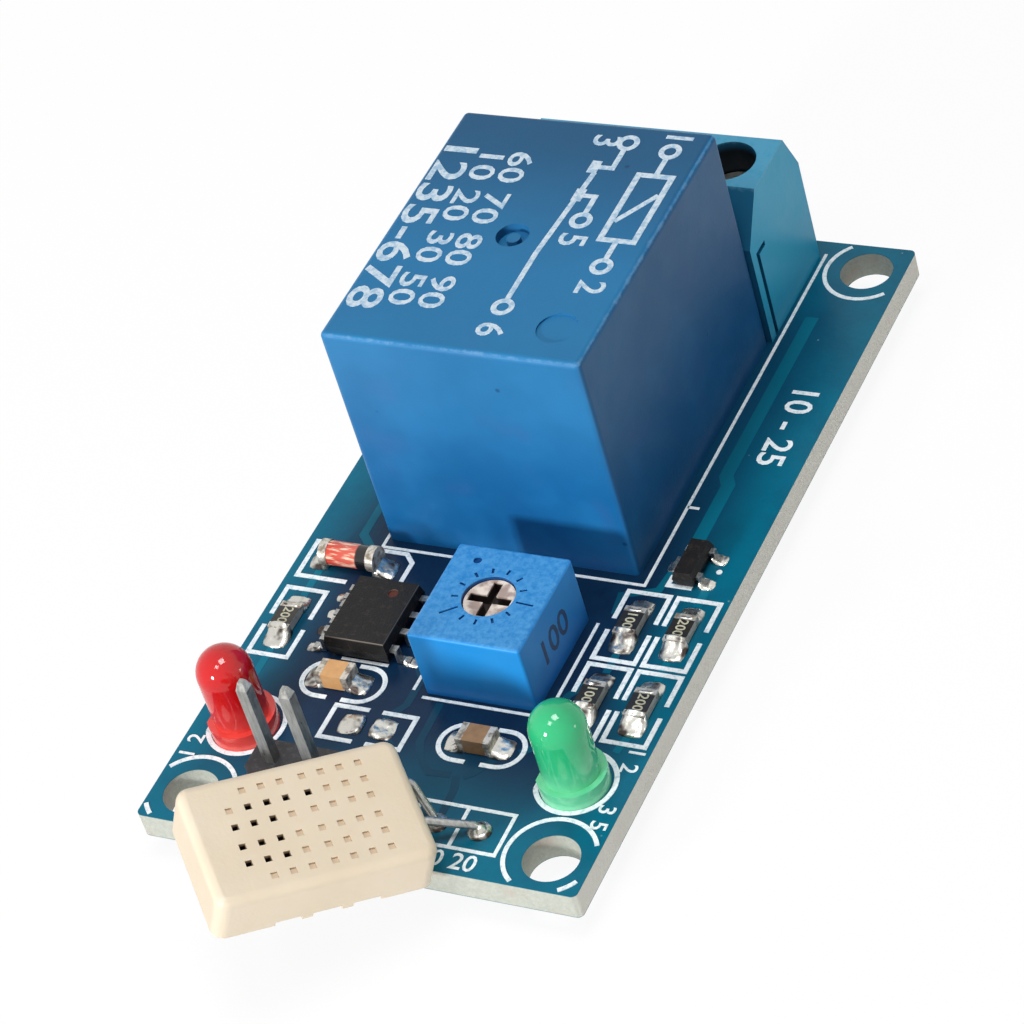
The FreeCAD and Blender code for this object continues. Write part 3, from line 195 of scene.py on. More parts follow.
room = bpy.data.worlds.new("room")
room.use_nodes = True
room_air = room.node_tree.nodes["Background"]
room_rays = room.node_tree.nodes.new("ShaderNodeLightPath")
room_glow = room.node_tree.nodes.new("ShaderNodeMapRange")
room.node_tree.links.new(room_rays.outputs["Is Diffuse Ray"], room_glow.inputs["Value"])
backdrop_strength, fill_strength = 1.0, 0.18
room_glow.inputs["To Min"].default_value = backdrop_strength
room_glow.inputs["To Max"].default_value = fill_strength
room.node_tree.links.new(room_glow.outputs[0], room_air.inputs["Strength"])
room_air.inputs["Color"].default_value = (1, 1, 1, 1)
bpy.context.scene.world = room
bpy.context.scene.view_settings.view_transform = "Standard"

floor_reach, floor_level, floor_white = 2, -0.00162, 0.92
floor_mesh = bpy.data.meshes.new("floor")
floor_mesh.from_pydata([(side * floor_reach, end * floor_reach, floor_level)
                        for side, end in ((-1, -1), (1, -1), (1, 1), (-1, 1))], [], [(0, 1, 2, 3)])
floor = bpy.data.objects.new("floor", floor_mesh)
bpy.context.scene.collection.objects.link(floor)
floor_finish = Finish("pale_floor", shade(250, 250, 250), 0.9, Specular_IOR_Level=0.0)
rays = floor_finish.add("ShaderNodeLightPath", output="Is Camera Ray")
mirrored = floor_finish.add("ShaderNodeLightPath", output="Is Glossy Ray")
passed = floor_finish.add("ShaderNodeLightPath", output="Is Transmission Ray")
white = floor_finish.add("ShaderNodeEmission", inputs={"Color": (1, 1, 1, 1), "Strength": 1.0})
lit = floor_finish.add("ShaderNodeMixShader", inputs={0: rays.most(mirrored).most(passed) * floor_white,
                                                      1: Socket(floor_finish, floor_finish.shader.outputs[0]),
                                                      2: white})
floor_finish.join(floor_finish.output.inputs[0], lit)
floor_finish.dress(floor)

# The circuit board: 1.6 mm of woven glass fibre in resin, with copper tracks under a
# glossy blue mask, and white lines and numbers printed on the mask. It is routed to
# size, so its edges and the walls of its holes show the pale cut fibres.
board_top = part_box("relay_cover")[0].z * 1000
board_half_width, board_half_length, board_thickness = 13.0, 25.0, 1.6
sharpest_mitre = 0.35
half_ink, boldness = 0.006, 0.012


def flat_strip(mesh, points, width, floor_z, top_z, closed=False):
    """Adds one flat printed line of that width, with mitred corners, in millimetres."""
    points = [Vector(point) for point in points]
    count = len(points)
    corners = []
    for index, point in enumerate(points):
        before = points[index - 1] if closed or index else None
        after = points[(index + 1) % count] if closed or index < count - 1 else None
        runs = [(b - a).normalized() for a, b in ((before, point), (point, after)) if a and b]
        across = sum((Vector((-run.y, run.x)) for run in runs), Vector((0, 0))).normalized()
        reach = width / 2 / max(sharpest_mitre, across.dot(Vector((-runs[0].y, runs[0].x))))
        corners.append([mesh.verts.new((spot.x / 1000, spot.y / 1000, z / 1000))
                        for spot in (point + across * reach, point - across * reach)
                        for z in (floor_z, top_z)])
    spans = list(zip(corners, corners[1:])) + ([(corners[-1], corners[0])] if closed else [])
    for (a, b, c, d), (e, f, g, h) in spans:
        for ring in ((b, d, h, f), (a, e, g, c), (a, b, f, e), (c, g, h, d)):
            mesh.faces.new(ring)
    if not closed:
        mesh.faces.new((corners[0][0], corners[0][2], corners[0][3], corners[0][1]))
        mesh.faces.new([corners[-1][index] for index in (0, 1, 3, 2)])


def arc(centre, radius, start, end, steps=48):
    """Points along an arc, with its angles in degrees."""
    turns = [math.radians(start + (end - start) * index / steps) for index in range(steps + 1)]
    return [(centre[0] + radius * math.cos(turn), centre[1] + radius * math.sin(turn)) for turn in turns]


def finished(name, mesh, body, finish, smooth=False):
    """Makes a piece of a built mesh, on its body and its finish."""
    bmesh.ops.recalc_face_normals(mesh, faces=mesh.faces)
    data = bpy.data.meshes.new(name)
    mesh.to_mesh(data)
    mesh.free()
    if smooth:
        data.shade_smooth()
    piece = bpy.data.objects.new(name, data)
    bpy.context.scene.collection.objects.link(piece)
    finish.dress(piece)
    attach(piece, body)
    return piece


def printed_number(mesh, text, height, place):
    """Adds figures as thin raised ink, with a matrix that stands them in their place."""
    curve = bpy.data.curves.new("figures", "FONT")
    curve.body, curve.size, curve.extrude, curve.offset = text, height, half_ink, height * boldness
    curve.align_x, curve.align_y, curve.resolution_u = "CENTER", "CENTER", 3
    holder = bpy.data.objects.new("figures", curve)
    bpy.context.scene.collection.objects.link(holder)
    bpy.context.view_layer.update()
    flat = bpy.data.meshes.new_from_object(holder.evaluated_get(bpy.context.evaluated_depsgraph_get()))
    flat.transform(Matrix.Scale(0.001, 4) @ place)
    mesh.from_mesh(flat)
    bpy.data.objects.remove(holder)


mask = Finish("board_mask", shade(20, 60, 90), 0.3, Specular_IOR_Level=0.18)
across = abs(mask.along("X")) / board_half_width
lengthwise = abs(mask.along("Y")) / board_half_length
# Painted reflection: the mask is painted navy in the middle, paler teal toward its edges and lighter toward
# the back.
edge_sheen = mask.ramp(across.most(lengthwise) + mask.cloud(9) * 0.2, 0.72, 1.1)
back_sheen = mask.ramp(mask.along("Y"), -5, 8)
blue = mask.mix(back_sheen, shade(12, 38, 66), shade(8, 66, 96))
blue = mask.mix(edge_sheen, blue, shade(2, 104, 130))
blue = mask.mix(mask.ramp(mask.cloud(2.2, 4, 0.6), 0.35, 0.75) * 0.3, blue, shade(18, 62, 92))
weave = mask.add("ShaderNodeTexWave", {"wave_profile": "SIN"}, {"Vector": mask.place, "Scale": 1.3,
                                                                "Distortion": 1.5, "Detail": 1.0})
fibre = mask.cloud(0.22, 4, 0.7)
laminate = mask.mix(fibre, shade(158, 166, 156), shade(212, 212, 202))
laminate = mask.mix(mask.ramp(mask.cloud(1.6, 3), 0.5, 0.7) * 0.5, laminate, shade(190, 170, 158))
# Painted highlight: the cut edge is painted paler along the board's right side.
lit_right_edge = mask.ramp(mask.along("X"), board_half_width - 0.2, board_half_width - 0.02)
laminate = mask.mix(lit_right_edge * 0.7, laminate, shade(238, 236, 226))
half_board = board_thickness / 2
near_face = mask.ramp(abs(mask.along("Z") - half_board), half_board - 0.06, half_board - 0.01)
laminate = mask.mix(near_face, laminate, shade(60, 120, 130))
is_cut = mask.ramp(abs(mask.along("Z", mask.facing)), 0.6, 0.3)
dust = mask.ramp(mask.specks(1.4), 0.06, 0.02) * mask.ramp(mask.cloud(5), 0.5, 0.6)
blue = mask.mix(dust * 0.6, blue, shade(150, 175, 185))
mask.wear({"Base Color": mask.mix(is_cut, blue, laminate),
           "Roughness": is_cut * 0.5 + 0.24 + mask.cloud(3) * 0.12,
           "Normal": mask.relief(weave * 0.1 + mask.cloud(0.5) + fibre * is_cut * 4, 0.012)})
mask.dress(nodes["circuit_board"])

track_mesh = bmesh.new()
track_floor, track_top = board_top - 0.02, board_top + 0.012
for track_width, track in (
        (0.45, [(0.2, -14.1), (0.3, -16.9), (0.75, -17.9), (1.7, -18.8), (3.0, -18.7)]),
        (0.45, [(3.7, -18.7), (4.2, -18.3), (4.9, -17.2)]),
        (0.45, [(3.3, -18.7), (3.6, -19.6), (3.7, -21.3)]),
        (0.5, [(-3.0, -20.9), (-1.2, -19.2), (-1.2, -17.6), (-2.1, -16.5)]),
        (0.5, [(-9.0, -3.9), (-9.9, -3.0), (-9.9, 9.0), (-8.9, 11.0), (-8.9, 18.0)]),
        (0.45, [(-11.2, -12.2), (-11.2, -14.4), (-10.7, -15.4)]),
        (0.45, [(-11.2, -8.2), (-11.2, -6.1)]),
        (0.45, [(8.3, -8.8), (8.3, -10.2)]),
        (0.45, [(11.3, -8.8), (11.3, -10.2)]),
        (0.45, [(11.3, -14.3), (11.1, -15.4)]),
        (0.45, [(8.3, -14.3), (8.8, -15.2)]),
        (0.5, [(11.3, -4.7), (11.3, -3.4)]),
        (0.8, [(9.4, -1.4), (9.4, 4.5), (9.0, 5.2), (9.0, 18.5)]),
        (0.45, [(7.0, -6.0), (6.8, -4.6), (8.7, -3.9), (8.9, -2.4)]),
        (0.45, [(-2.3, -11.7), (-1.6, -12.6), (-1.6, -14.6), (-2.4, -15.8)]),
        (0.45, [(6.0, -16.5), (6.9, -15.8), (6.9, -12.2), (7.5, -11.2)])):
    flat_strip(track_mesh, track, track_width, track_floor, track_top)
covered_track = Finish("masked_track", shade(24, 84, 112), 0.3, Specular_IOR_Level=0.18)
track_across = abs(covered_track.along("X")) / board_half_width
# Painted reflection: the tracks are painted paler teal toward the board's edges, as on the mask.
track_edge_sheen = covered_track.ramp(track_across + covered_track.cloud(6) * 0.2, 0.5, 1.0)
covered_track.wear({"Base Color": covered_track.mix(track_edge_sheen, shade(12, 62, 86), shade(4, 110, 134)),
                    "Roughness": covered_track.cloud(1.2) * 0.15 + 0.24,
                    "Normal": covered_track.relief(covered_track.cloud(0.5), 0.01)})
finished("copper_tracks", track_mesh, "root", covered_track)

ink = Finish("white_ink", shade(225, 235, 238), 0.55)
thin_ink = ink.ramp(ink.cloud(0.28, 3, 0.7), 0.30, 0.55)
ink.wear({"Base Color": ink.mix(thin_ink, shade(196, 214, 222), shade(242, 248, 250)),
          "Roughness": 0.45 + ink.cloud(0.6) * 0.25,
          "Normal": ink.relief(ink.cloud(0.12), 0.012)})
print_mesh = bmesh.new()
line_floor, line_top, figure_level = board_top - 0.01, board_top + 0.028, board_top + 0.018
hair = 0.002


def line(points, closed=False, width=0.28):
    """Prints a line with its top up to six hairs higher, so that crossed lines share no plane."""
    step = hair * (len(print_mesh.faces) % 7)
    flat_strip(print_mesh, points, width, line_floor, line_top + step, closed)


outline_width, frame_width, hole_ring_width = 0.19, 0.22, 0.25
hole_ring_radius, lamp_ring_radius, lamp_ring_half = 2.45, 2.15, 155
for outline in ([(-8.35, 16.1), (-8.35, -3.7), (7.8, -3.7), (7.8, 23.9)], [(7.8, 2.46), (8.5, 2.46)],
                [(-8.35, 16.1), (-8.35, 23.9)], [(-1.0, -13.9), (5.6, -13.9)], [(6.4, -12.5), (6.4, -6.85)],
                [(-1.7, -13.5), (-1.7, -6.5)], [(-6.8, -12.13), (-3.9, -12.13)]):
    line(outline, width=outline_width)
line([(9.09, -2.65), (9.07, -3.41), (10.49, -3.40)])
line([(9.1, -0.75), (9.1, -0.45), (10.4, -0.45)])
line([(2.25, -23.35), (7.67, -23.35), (7.67, -20.6), (2.25, -20.6)], closed=True, width=frame_width)
line([(5.0, -23.35), (5.0, -20.6)], width=frame_width)
for hole_x, hole_y, ring_start, ring_end in ((10.55, -22.7, 28, 236), (10.55, -22.7, 303, 328),
                                             (-10.7, -22.85, -49, 146), (-10.7, -22.85, 212, 232),
                                             (10.7, 22.85, 130, 315), (-10.7, 22.85, -140, 48)):
    line(arc((hole_x, hole_y), hole_ring_radius, ring_start, ring_end), width=hole_ring_width)
for lamp_x, lamp_y in ((9.87, -17.75), (-9.87, -17.75)):
    lamp_ring = arc((lamp_x, lamp_y), lamp_ring_radius, -lamp_ring_half, lamp_ring_half)
    line(lamp_ring)
    line([lamp_ring[0], lamp_ring[-1]])
resistor_places = ((8.33, -6.75), (11.28, -6.75), (8.33, -12.25), (11.28, -12.25), (-11.2, -10.2))
corner_across, corner_along, corner_start, corner_end, bar_half = 1.23, 2.52, 0.5, 0.42, 0.6
for chip_x, chip_y in resistor_places:
    for side in (-1, 1):
        for end in (-1, 1):
            line([(chip_x + corner_start * side, chip_y + corner_along * end),
                  (chip_x + corner_across * side, chip_y + corner_along * end),
                  (chip_x + corner_across * side, chip_y + corner_end * end)])
        line([(chip_x - bar_half, chip_y + corner_along * side),
              (chip_x + bar_half, chip_y + corner_along * side)])
bow_apart, bow_radius, bow_lip = 1.2, 1.25, 0.45
for chip_x, chip_y in ((-5.9, -13.75), (3.78, -16.48)):
    for end in (-1, 1):
        bow = arc((chip_x + bow_apart * end, chip_y), bow_radius, 90, 90 - 180 * end, 20)
        line([(chip_x + bow_lip * end, chip_y + bow_radius)] + bow
             + [(chip_x + bow_lip * end, chip_y - bow_radius)])
line([(-8.2, -6.7), (-6.05, -6.7), (-6.05, -4.6), (-6.65, -4.0), (-8.2, -4.0)])
line([(-9.2, -4.0), (-12.35, -4.0), (-12.35, -6.7), (-9.2, -6.7)])
line([(-3.45, -17.7), (-5.5, -17.7), (-5.5, -15.4), (-3.45, -15.4)])
line([(-2.66, -17.7), (-0.6, -17.7), (-0.6, -15.4), (-2.66, -15.4)])
line(arc((11.5, -1.95), 0.09, 0, 330, 10), closed=True, width=0.16)
for figure, figure_height, figure_x, figure_y, figure_turn in (
        ("10 - 25", 2.3, 10.9, 9.6, -90), ("10 20", 1.5, 5.3, -24.2, 0), ("1", 1.4, -6.9, -21.7, 0),
        ("2", 1.4, -1.6, -21.7, 0), ("1", 1.35, 12.2, -15.2, -90), ("2", 1.35, 12.2, -16.3, -90),
        ("3", 1.35, 12.2, -19.2, -90), ("5", 1.35, 12.2, -20.3, -90), ("1", 1.35, -12.2, -20.4, 90),
        ("2", 1.35, -12.2, -19.3, 90), ("3", 1.35, -12.2, -16.3, 90)):
    printed_number(print_mesh, figure, figure_height,
                   Matrix.Translation((figure_x, figure_y, figure_level))
                   @ Matrix.Rotation(math.radians(figure_turn), 4, "Z"))
finished("board_print", print_mesh, "root", ink)

# The relay's cover: blue nylon, moulded in one shot and sealed to its floor with resin.
# Its pale edges are worn, and its top has a dimpled vent and a faint ejector mark. The
# print on it is a plain contact plan with the numbers of the pins.
cover_low, cover_high = [corner * 1000 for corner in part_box("relay_cover")]
cover_mid = (cover_low + cover_high) / 2
nylon = Finish("relay_nylon", shade(30, 98, 165), 0.34, Specular_IOR_Level=0.16)
gaps = [cover_high.x - cover_mid.x - abs(nylon.along("X") - cover_mid.x),
        cover_high.y - cover_mid.y - abs(nylon.along("Y") - cover_mid.y),
        cover_high.z - nylon.along("Z")]
inner_gap = gaps[0].least(gaps[1])
from_edge = inner_gap.most(gaps[2])
worn = nylon.ramp(from_edge + nylon.cloud(0.5, 3, 0.7) * 0.4 - 0.2, 0.2, 0.04)
cloudy = nylon.ramp(nylon.cloud(6, 3, 0.55), 0.35, 0.68)
body_blue = nylon.mix(cloudy, shade(24, 104, 164), shade(36, 122, 184))
body_blue = nylon.mix(nylon.ramp(nylon.cloud(3.5, 2), 0.55, 0.75) * 0.16, body_blue, shade(92, 96, 170))
# Painted light: the cover is painted paler toward the top.
body_blue = nylon.mix(nylon.ramp(nylon.along("Z"), 5.0, 16.0) * 0.5, body_blue, shade(58, 132, 180))
# Painted shade: the top face is painted duller than the sides, and darker toward the back.
shaded_top = nylon.ramp(nylon.along("Z", nylon.facing), 0.8, 0.95)
body_blue = nylon.mix(shaded_top * 0.6, body_blue, shade(34, 108, 152))
body_blue = nylon.mix(shaded_top * nylon.ramp(nylon.along("Y"), 3.0, 15.0) * 0.7, body_blue, shade(28, 66, 98))
# Painted shade: the face turned to +X is painted darker.
shaded_right_side = nylon.ramp(nylon.along("X", nylon.facing), 0.6, 0.9)
body_blue = nylon.mix(shaded_right_side * 0.55, body_blue, shade(10, 48, 84))
nicks = nylon.ramp(nylon.specks(2.3), 0.09, 0.03) * nylon.ramp(nylon.cloud(4), 0.52, 0.6)
body_blue = nylon.mix(nicks * 0.55, body_blue, shade(18, 46, 84))
body_blue = nylon.mix(worn * 0.4, body_blue, shade(132, 172, 206))
fine = nylon.cloud(0.16, 3, 0.6)
nylon.wear({"Base Color": body_blue,
            "Roughness": nylon.cloud(1.8, 4) * 0.22 + 0.26 + worn * 0.2,
            "Normal": nylon.relief(fine + nylon.cloud(2.5) * 3 - nicks * 2, 0.008)})
nylon.dress(nodes["relay_cover"])

plan_mesh = bmesh.new()
cover_top = cover_high.z
plan_floor, plan_top, plan_level = cover_top - 0.01, cover_top + 0.012, cover_top + 0.008
sideways = Matrix.Rotation(math.radians(-90), 4, "Z")


def plan_line(points, closed=False, width=0.32):
    """Prints a line of the contact plan, in the same way as a line on the board."""
    step = hair * (len(plan_mesh.faces) % 7)
    flat_strip(plan_mesh, points, width, plan_floor, plan_top + step, closed)


coil_width, contact_width = 0.36, 0.6
pin_radius, pin_figure_height = 0.5, 2.3
plan_line([(5.3, 13.6), (5.3, 12.0)])
plan_line([(5.3, 6.6), (5.3, 5.0)])
plan_line([(4.3, 12.0), (6.3, 12.0), (6.3, 6.6), (4.3, 6.6)], closed=True, width=coil_width)
plan_line([(4.5, 8.1), (6.1, 10.5)])
plan_line([(2.6, 14.0), (2.6, 12.3), (1.5, 12.3)])
plan_line([(1.5, 12.8), (1.5, 11.8)], width=contact_width)
plan_line([(2.6, 8.4), (2.6, 9.9), (1.6, 9.9)])
plan_line([(1.6, 10.4), (1.6, 9.4)], width=contact_width)
plan_line([(1.2, 1.1), (1.2, 5.0), (1.7, 11.8)])
for pin, pin_x, pin_y, figure_x, figure_y in (("1", 5.3, 14.1, 5.3, 15.3), ("2", 5.3, 4.5, 5.3, 2.8),
                                              ("3", 2.6, 14.5, 1.2, 14.5), ("5", 2.6, 7.9, 2.7, 6.3),
                                              ("6", 1.2, 0.6, 1.2, -1.2)):
    plan_line(arc((pin_x, pin_y), pin_radius, 0, 345, 23), closed=True)
    printed_number(plan_mesh, pin, pin_figure_height,
                   Matrix.Translation((figure_x, figure_y, plan_level)) @ sideways)
row_middle, wide_print = 6.4, Matrix.Diagonal((1.3, 1.0, 1.0, 1.0))
for row_x, row_height, figures in ((-7.0, 2.9, "1235-678"), (-4.9, 2.1, "10 20 30 50"),
                                   (-3.1, 2.1, "60 70 80 90")):
    printed_number(plan_mesh, figures, row_height,
                   Matrix.Translation((row_x, row_middle, plan_level)) @ sideways @ wide_print)
pad_ink = Finish("relay_ink", shade(196, 212, 224), 0.5)
faded = pad_ink.ramp(pad_ink.cloud(0.35, 4, 0.7), 0.34, 0.6)
pad_ink.wear({"Base Color": pad_ink.mix(faded, shade(150, 182, 208), shade(206, 220, 230)),
              "Roughness": pad_ink.cloud(0.6) * 0.25 + 0.4})
finished("relay_print", plan_mesh, "root", pad_ink)

# Inside the relay: a black bobbin wound with enamelled copper on an iron core, a bent
# iron yoke, a hinged armature and springy contact strips. The cover hides them all.
iron = Finish("relay_iron", shade(150, 150, 148), 0.4, Metallic=1.0)
iron.wear({"Base Color": iron.mix(iron.cloud(1.2, 4), shade(128, 128, 128), shade(176, 174, 170)),
           "Roughness": iron.cloud(0.6, 4) * 0.3 + 0.25})
iron.dress(*[nodes[name] for name in ("relay_core", "relay_yoke", "relay_armature")])
copper = Finish("wound_copper", shade(190, 105, 60), 0.35, Metallic=1.0)
turns = copper.add("ShaderNodeTexWave", {"bands_direction": "Z", "wave_profile": "SIN"},
                   {"Vector": copper.place, "Scale": 3.0, "Distortion": 0.4})
copper.wear({"Base Color": copper.mix(turns, shade(120, 58, 30), shade(205, 120, 70)),
             "Normal": copper.relief(turns, 0.05)})
copper.dress(nodes["relay_winding"])
spring_metal = Finish("contact_strip", shade(205, 160, 95), 0.3, Metallic=1.0)
tarnish = spring_metal.cloud(1.5, 4)
spring_metal.wear({"Base Color": spring_metal.mix(tarnish, shade(178, 132, 74), shade(222, 182, 120)),
                   "Roughness": spring_metal.cloud(0.5, 3) * 0.25 + 0.2})
spring_metal.dress(*[nodes[name] for name in ("relay_contact_arm", "relay_contact_upper",
                                              "relay_contact_lower", "relay_common_strip")])
black_plastic = Finish("black_plastic", shade(34, 34, 36), 0.5)
scuffed = black_plastic.ramp(black_plastic.cloud(0.35, 4, 0.7), 0.45, 0.75)
black_plastic.wear({"Base Color": black_plastic.mix(scuffed, shade(24, 24, 27), shade(62, 60, 62)),
                    "Roughness": black_plastic.cloud(0.8, 3) * 0.3 + 0.35,
                    "Normal": black_plastic.relief(black_plastic.cloud(0.1, 3), 0.02)})
black_plastic.dress(nodes["relay_base"], nodes["relay_bobbin"])

# The screw terminal: one nylon moulding with a screw well and a wire mouth for each
# pole. In each sits a zinc-plated cage that its screw lifts, on a tinned pin.
teal_nylon = Finish("terminal_nylon", shade(46, 122, 156), 0.32, Specular_IOR_Level=0.16)
block_low, block_high = [corner * 1000 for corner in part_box("terminal_housing")]
below_top = block_high.z - teal_nylon.along("Z")
block_worn = teal_nylon.ramp(below_top + teal_nylon.cloud(0.5, 3, 0.7) * 0.5, 0.45, 0.2)
teal = teal_nylon.mix(teal_nylon.cloud(4, 3), shade(40, 138, 180), shade(62, 160, 200))
# Painted light: the face turned to +X is painted paler.
lit_right_side = teal_nylon.ramp(teal_nylon.along("X", teal_nylon.facing), 0.6, 0.9)
teal = teal_nylon.mix(lit_right_side * 0.6, teal, shade(50, 176, 212))
upright = teal_nylon.ramp(abs(teal_nylon.along("Z", teal_nylon.facing)), 0.6, 0.3)
# Painted shadow: the faces turned toward the relay are painted dark.
relay_side_shadow = teal_nylon.ramp(teal_nylon.along("Y", teal_nylon.facing), -0.5, -0.85)
teal = teal_nylon.mix(relay_side_shadow * 0.75, teal, shade(14, 54, 88))
# Painted shade: the upright walls inside the screw wells are painted nearly black.
inside = (teal_nylon.ramp(teal_nylon.along("Y") - block_low.y, 0.15, 0.5)
          * teal_nylon.ramp(block_high.y - teal_nylon.along("Y"), 0.15, 0.5)
          * teal_nylon.ramp(block_high.x - teal_nylon.along("X"), 0.15, 0.5)
          * teal_nylon.ramp(teal_nylon.along("X") - block_low.x, 0.15, 0.5))
well_shade = upright * inside * teal_nylon.ramp(teal_nylon.along("Z"), block_high.z - 0.05, block_high.z - 0.7)
teal = teal_nylon.mix(well_shade, teal, shade(8, 18, 26))
teal = teal_nylon.mix(block_worn * 0.35, teal, shade(120, 182, 205))
teal_nylon.wear({"Base Color": teal,
                 "Roughness": teal_nylon.cloud(1.6, 4) * 0.22 + 0.24,
                 "Normal": teal_nylon.relief(teal_nylon.cloud(0.2, 3) + teal_nylon.cloud(2) * 3, 0.008)})
teal_nylon.dress(nodes["terminal_housing"])
zinc = Finish("zinc_plate", shade(190, 190, 184), 0.35, Metallic=1.0)
zinc.wear({"Base Color": zinc.mix(zinc.cloud(0.9, 4), shade(140, 142, 140), shade(206, 206, 200)),
           "Roughness": zinc.cloud(0.3, 4) * 0.3 + 0.22,
           "Normal": zinc.relief(zinc.cloud(0.12, 3), 0.01)})
zinc.dress(*[nodes[f"terminal_{part}_{pole}"] for part in ("screw", "clamp") for pole in (1, 2, 3)])

# Tinned metal: the header's square pins, the sensor's two wires, the frames in the
# lamps, the terminal's pins and the gull leads, dipped in bright tin. The header's
# pins are pressed into a base of black nylon.
tin = Finish("bright_tin", shade(186, 186, 182), 0.3, Metallic=1.0)
streaks = tin.cloud(0.5, 3, 0.6, tin.add("ShaderNodeVectorMath", {"operation": "MULTIPLY"},
                                         {0: tin.place, 1: (3.0, 3.0, 0.5)}))
tin.wear({"Base Color": tin.mix(streaks, shade(96, 97, 96), shade(206, 205, 200)),
          "Roughness": streaks * 0.25 + 0.2,
          "Normal": tin.relief(streaks + tin.cloud(0.15), 0.015)})
tin.dress(*[nodes[name] for name in ("header_pins", "sensor_leads", "red_lamp_leads", "green_lamp_leads",
                                     "trimmer_pins", "relay_coil_pins", "chip_leads", "transistor_leads",
                                     "terminal_pin_1", "terminal_pin_2", "terminal_pin_3")])
black_plastic.dress(nodes["header_base"])

# The trimmer: a blue moulded cube over a resistive track. Its window shows a pale
# rotor with a crossed slot, which carries a springy wiper. Engraved ticks mark its
# turn, and plain figures are printed on the cube's side.
cube_blue = Finish("trimmer_nylon", shade(40, 122, 200), 0.36, Specular_IOR_Level=0.32)
box_low, box_high = [corner * 1000 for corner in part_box("trimmer_housing")]
# Partly wear, partly painted highlight: the cube is painted paler along its top edges.
cube_wear_and_highlight = cube_blue.ramp(box_high.z - cube_blue.along("Z") + cube_blue.cloud(0.3, 3, 0.7) * 0.4, 0.3, 0.12)
cube = cube_blue.mix(cube_blue.cloud(2.5, 3), shade(30, 128, 206), shade(44, 146, 220))
# Painted light: the front face is painted brighter and the top face darker.
cube = cube_blue.mix(cube_blue.ramp(cube_blue.along("Y", cube_blue.facing), -0.5, -0.9) * 0.6,
                     cube, shade(40, 166, 250))
cube = cube_blue.mix(cube_blue.ramp(cube_blue.along("Z", cube_blue.facing), 0.8, 0.95) * 0.5,
                     cube, shade(42, 116, 172))
# Painted shadow: the cube is painted darker toward its foot.
cube = cube_blue.mix(cube_blue.ramp(cube_blue.along("Z"), 4.5, 0.6) * 0.6, cube, shade(22, 92, 184))
cube = cube_blue.mix(cube_wear_and_highlight * 0.35, cube, shade(120, 190, 236))
# Painted shade: the engraved ticks are painted dark inside.
tick_shade = cube_blue.ramp(cube_blue.along("Z"), box_high.z - 0.03, box_high.z - 0.09)
level_cut = cube_blue.ramp(cube_blue.along("Z"), box_high.z - 0.6, box_high.z - 0.5)
inner_x = abs(cube_blue.along("X") - (box_low.x + box_high.x) / 2)
inner_y = abs(cube_blue.along("Y") - (box_low.y + box_high.y) / 2)
cube_half = (box_high.x - box_low.x) / 2
off_walls = cube_blue.ramp(inner_x.most(inner_y), cube_half - 0.12, cube_half - 0.2)
cube = cube_blue.mix(tick_shade * level_cut * off_walls * 0.85, cube, shade(6, 44, 104))
cube_blue.wear({"Base Color": cube,
                "Roughness": cube_blue.cloud(1.0, 4) * 0.12 + 0.32,
                "Normal": cube_blue.relief(cube_blue.cloud(0.12, 3) + cube_blue.cloud(1.2) * 2, 0.004)})
cube_blue.dress(nodes["trimmer_housing"])
rotor = Finish("rotor_plastic", shade(206, 202, 190), 0.5)
rotor_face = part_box("trimmer_rotor")[1].z * 1000
pale = rotor.mix(rotor.ramp(rotor.cloud(0.7, 3), 0.38, 0.62), shade(170, 148, 136), shade(238, 222, 206))
# Painted shade: the crossed slot is painted dark below the rotor's face.
rotor.wear({"Base Color": rotor.mix(rotor.ramp(rotor.along("Z"), rotor_face - 0.04, rotor_face - 0.16), pale,
                                    shade(30, 20, 17)),
            "Roughness": rotor.cloud(0.4, 3) * 0.2 + 0.4,
            "Normal": rotor.relief(rotor.cloud(0.1, 3), 0.01)})
rotor.dress(nodes["trimmer_rotor"])
spring_metal.dress(nodes["trimmer_wiper"])
cermet = Finish("dark_ceramic", shade(44, 42, 40), 0.6)
cermet.wear({"Base Color": cermet.mix(cermet.cloud(0.3, 4), shade(26, 25, 24), shade(70, 64, 58))})
cermet.dress(nodes["trimmer_track"])

side_mesh = bmesh.new()
ink_lift, side_height = 0.004, 2.3
printed_number(side_mesh, "100", side_height, Matrix.Translation((box_high.x + ink_lift, -10.2, 3.7))
               @ Matrix.Rotation(math.radians(90), 4, "Z") @ Matrix.Rotation(math.radians(90), 4, "X"))
dark_ink = Finish("dark_ink", shade(22, 52, 88), 0.5)
dark_ink.wear({"Base Color": dark_ink.mix(dark_ink.cloud(0.4, 3), shade(16, 40, 74), shade(34, 78, 124)),
               "Roughness": dark_ink.cloud(0.5) * 0.2 + 0.4})
finished("trimmer_figures", side_mesh, "root", dark_ink)

# The two lamps: tinted epoxy cast round a lead frame, domed, with a rim at the foot.
# They are painted paler low down, a painted glow, and show small window glints.
for tint, deep, bright in (("red", shade(214, 20, 24), shade(248, 92, 82)),
                           ("green", shade(48, 194, 130), shade(138, 236, 186))):
    epoxy = Finish(f"{tint}_epoxy", deep, 0.08, Transmission_Weight=0.12, IOR=1.5, Specular_IOR_Level=0.5,
                   Subsurface_Weight=0.35, Subsurface_Radius=(0.0012, 0.0012, 0.0012))
    # Painted glow: the epoxy is painted paler low down, though the lamps are unlit.
    glow = epoxy.ramp(epoxy.along("Z") + epoxy.cloud(1.2, 2) * 2.4, 6.4, 2.0)
    epoxy.wear({"Base Color": epoxy.mix(glow, deep, bright),
                "Roughness": epoxy.cloud(0.8, 3) * 0.1 + 0.03})
    epoxy.dress(nodes[f"{tint}_lamp_lens"])

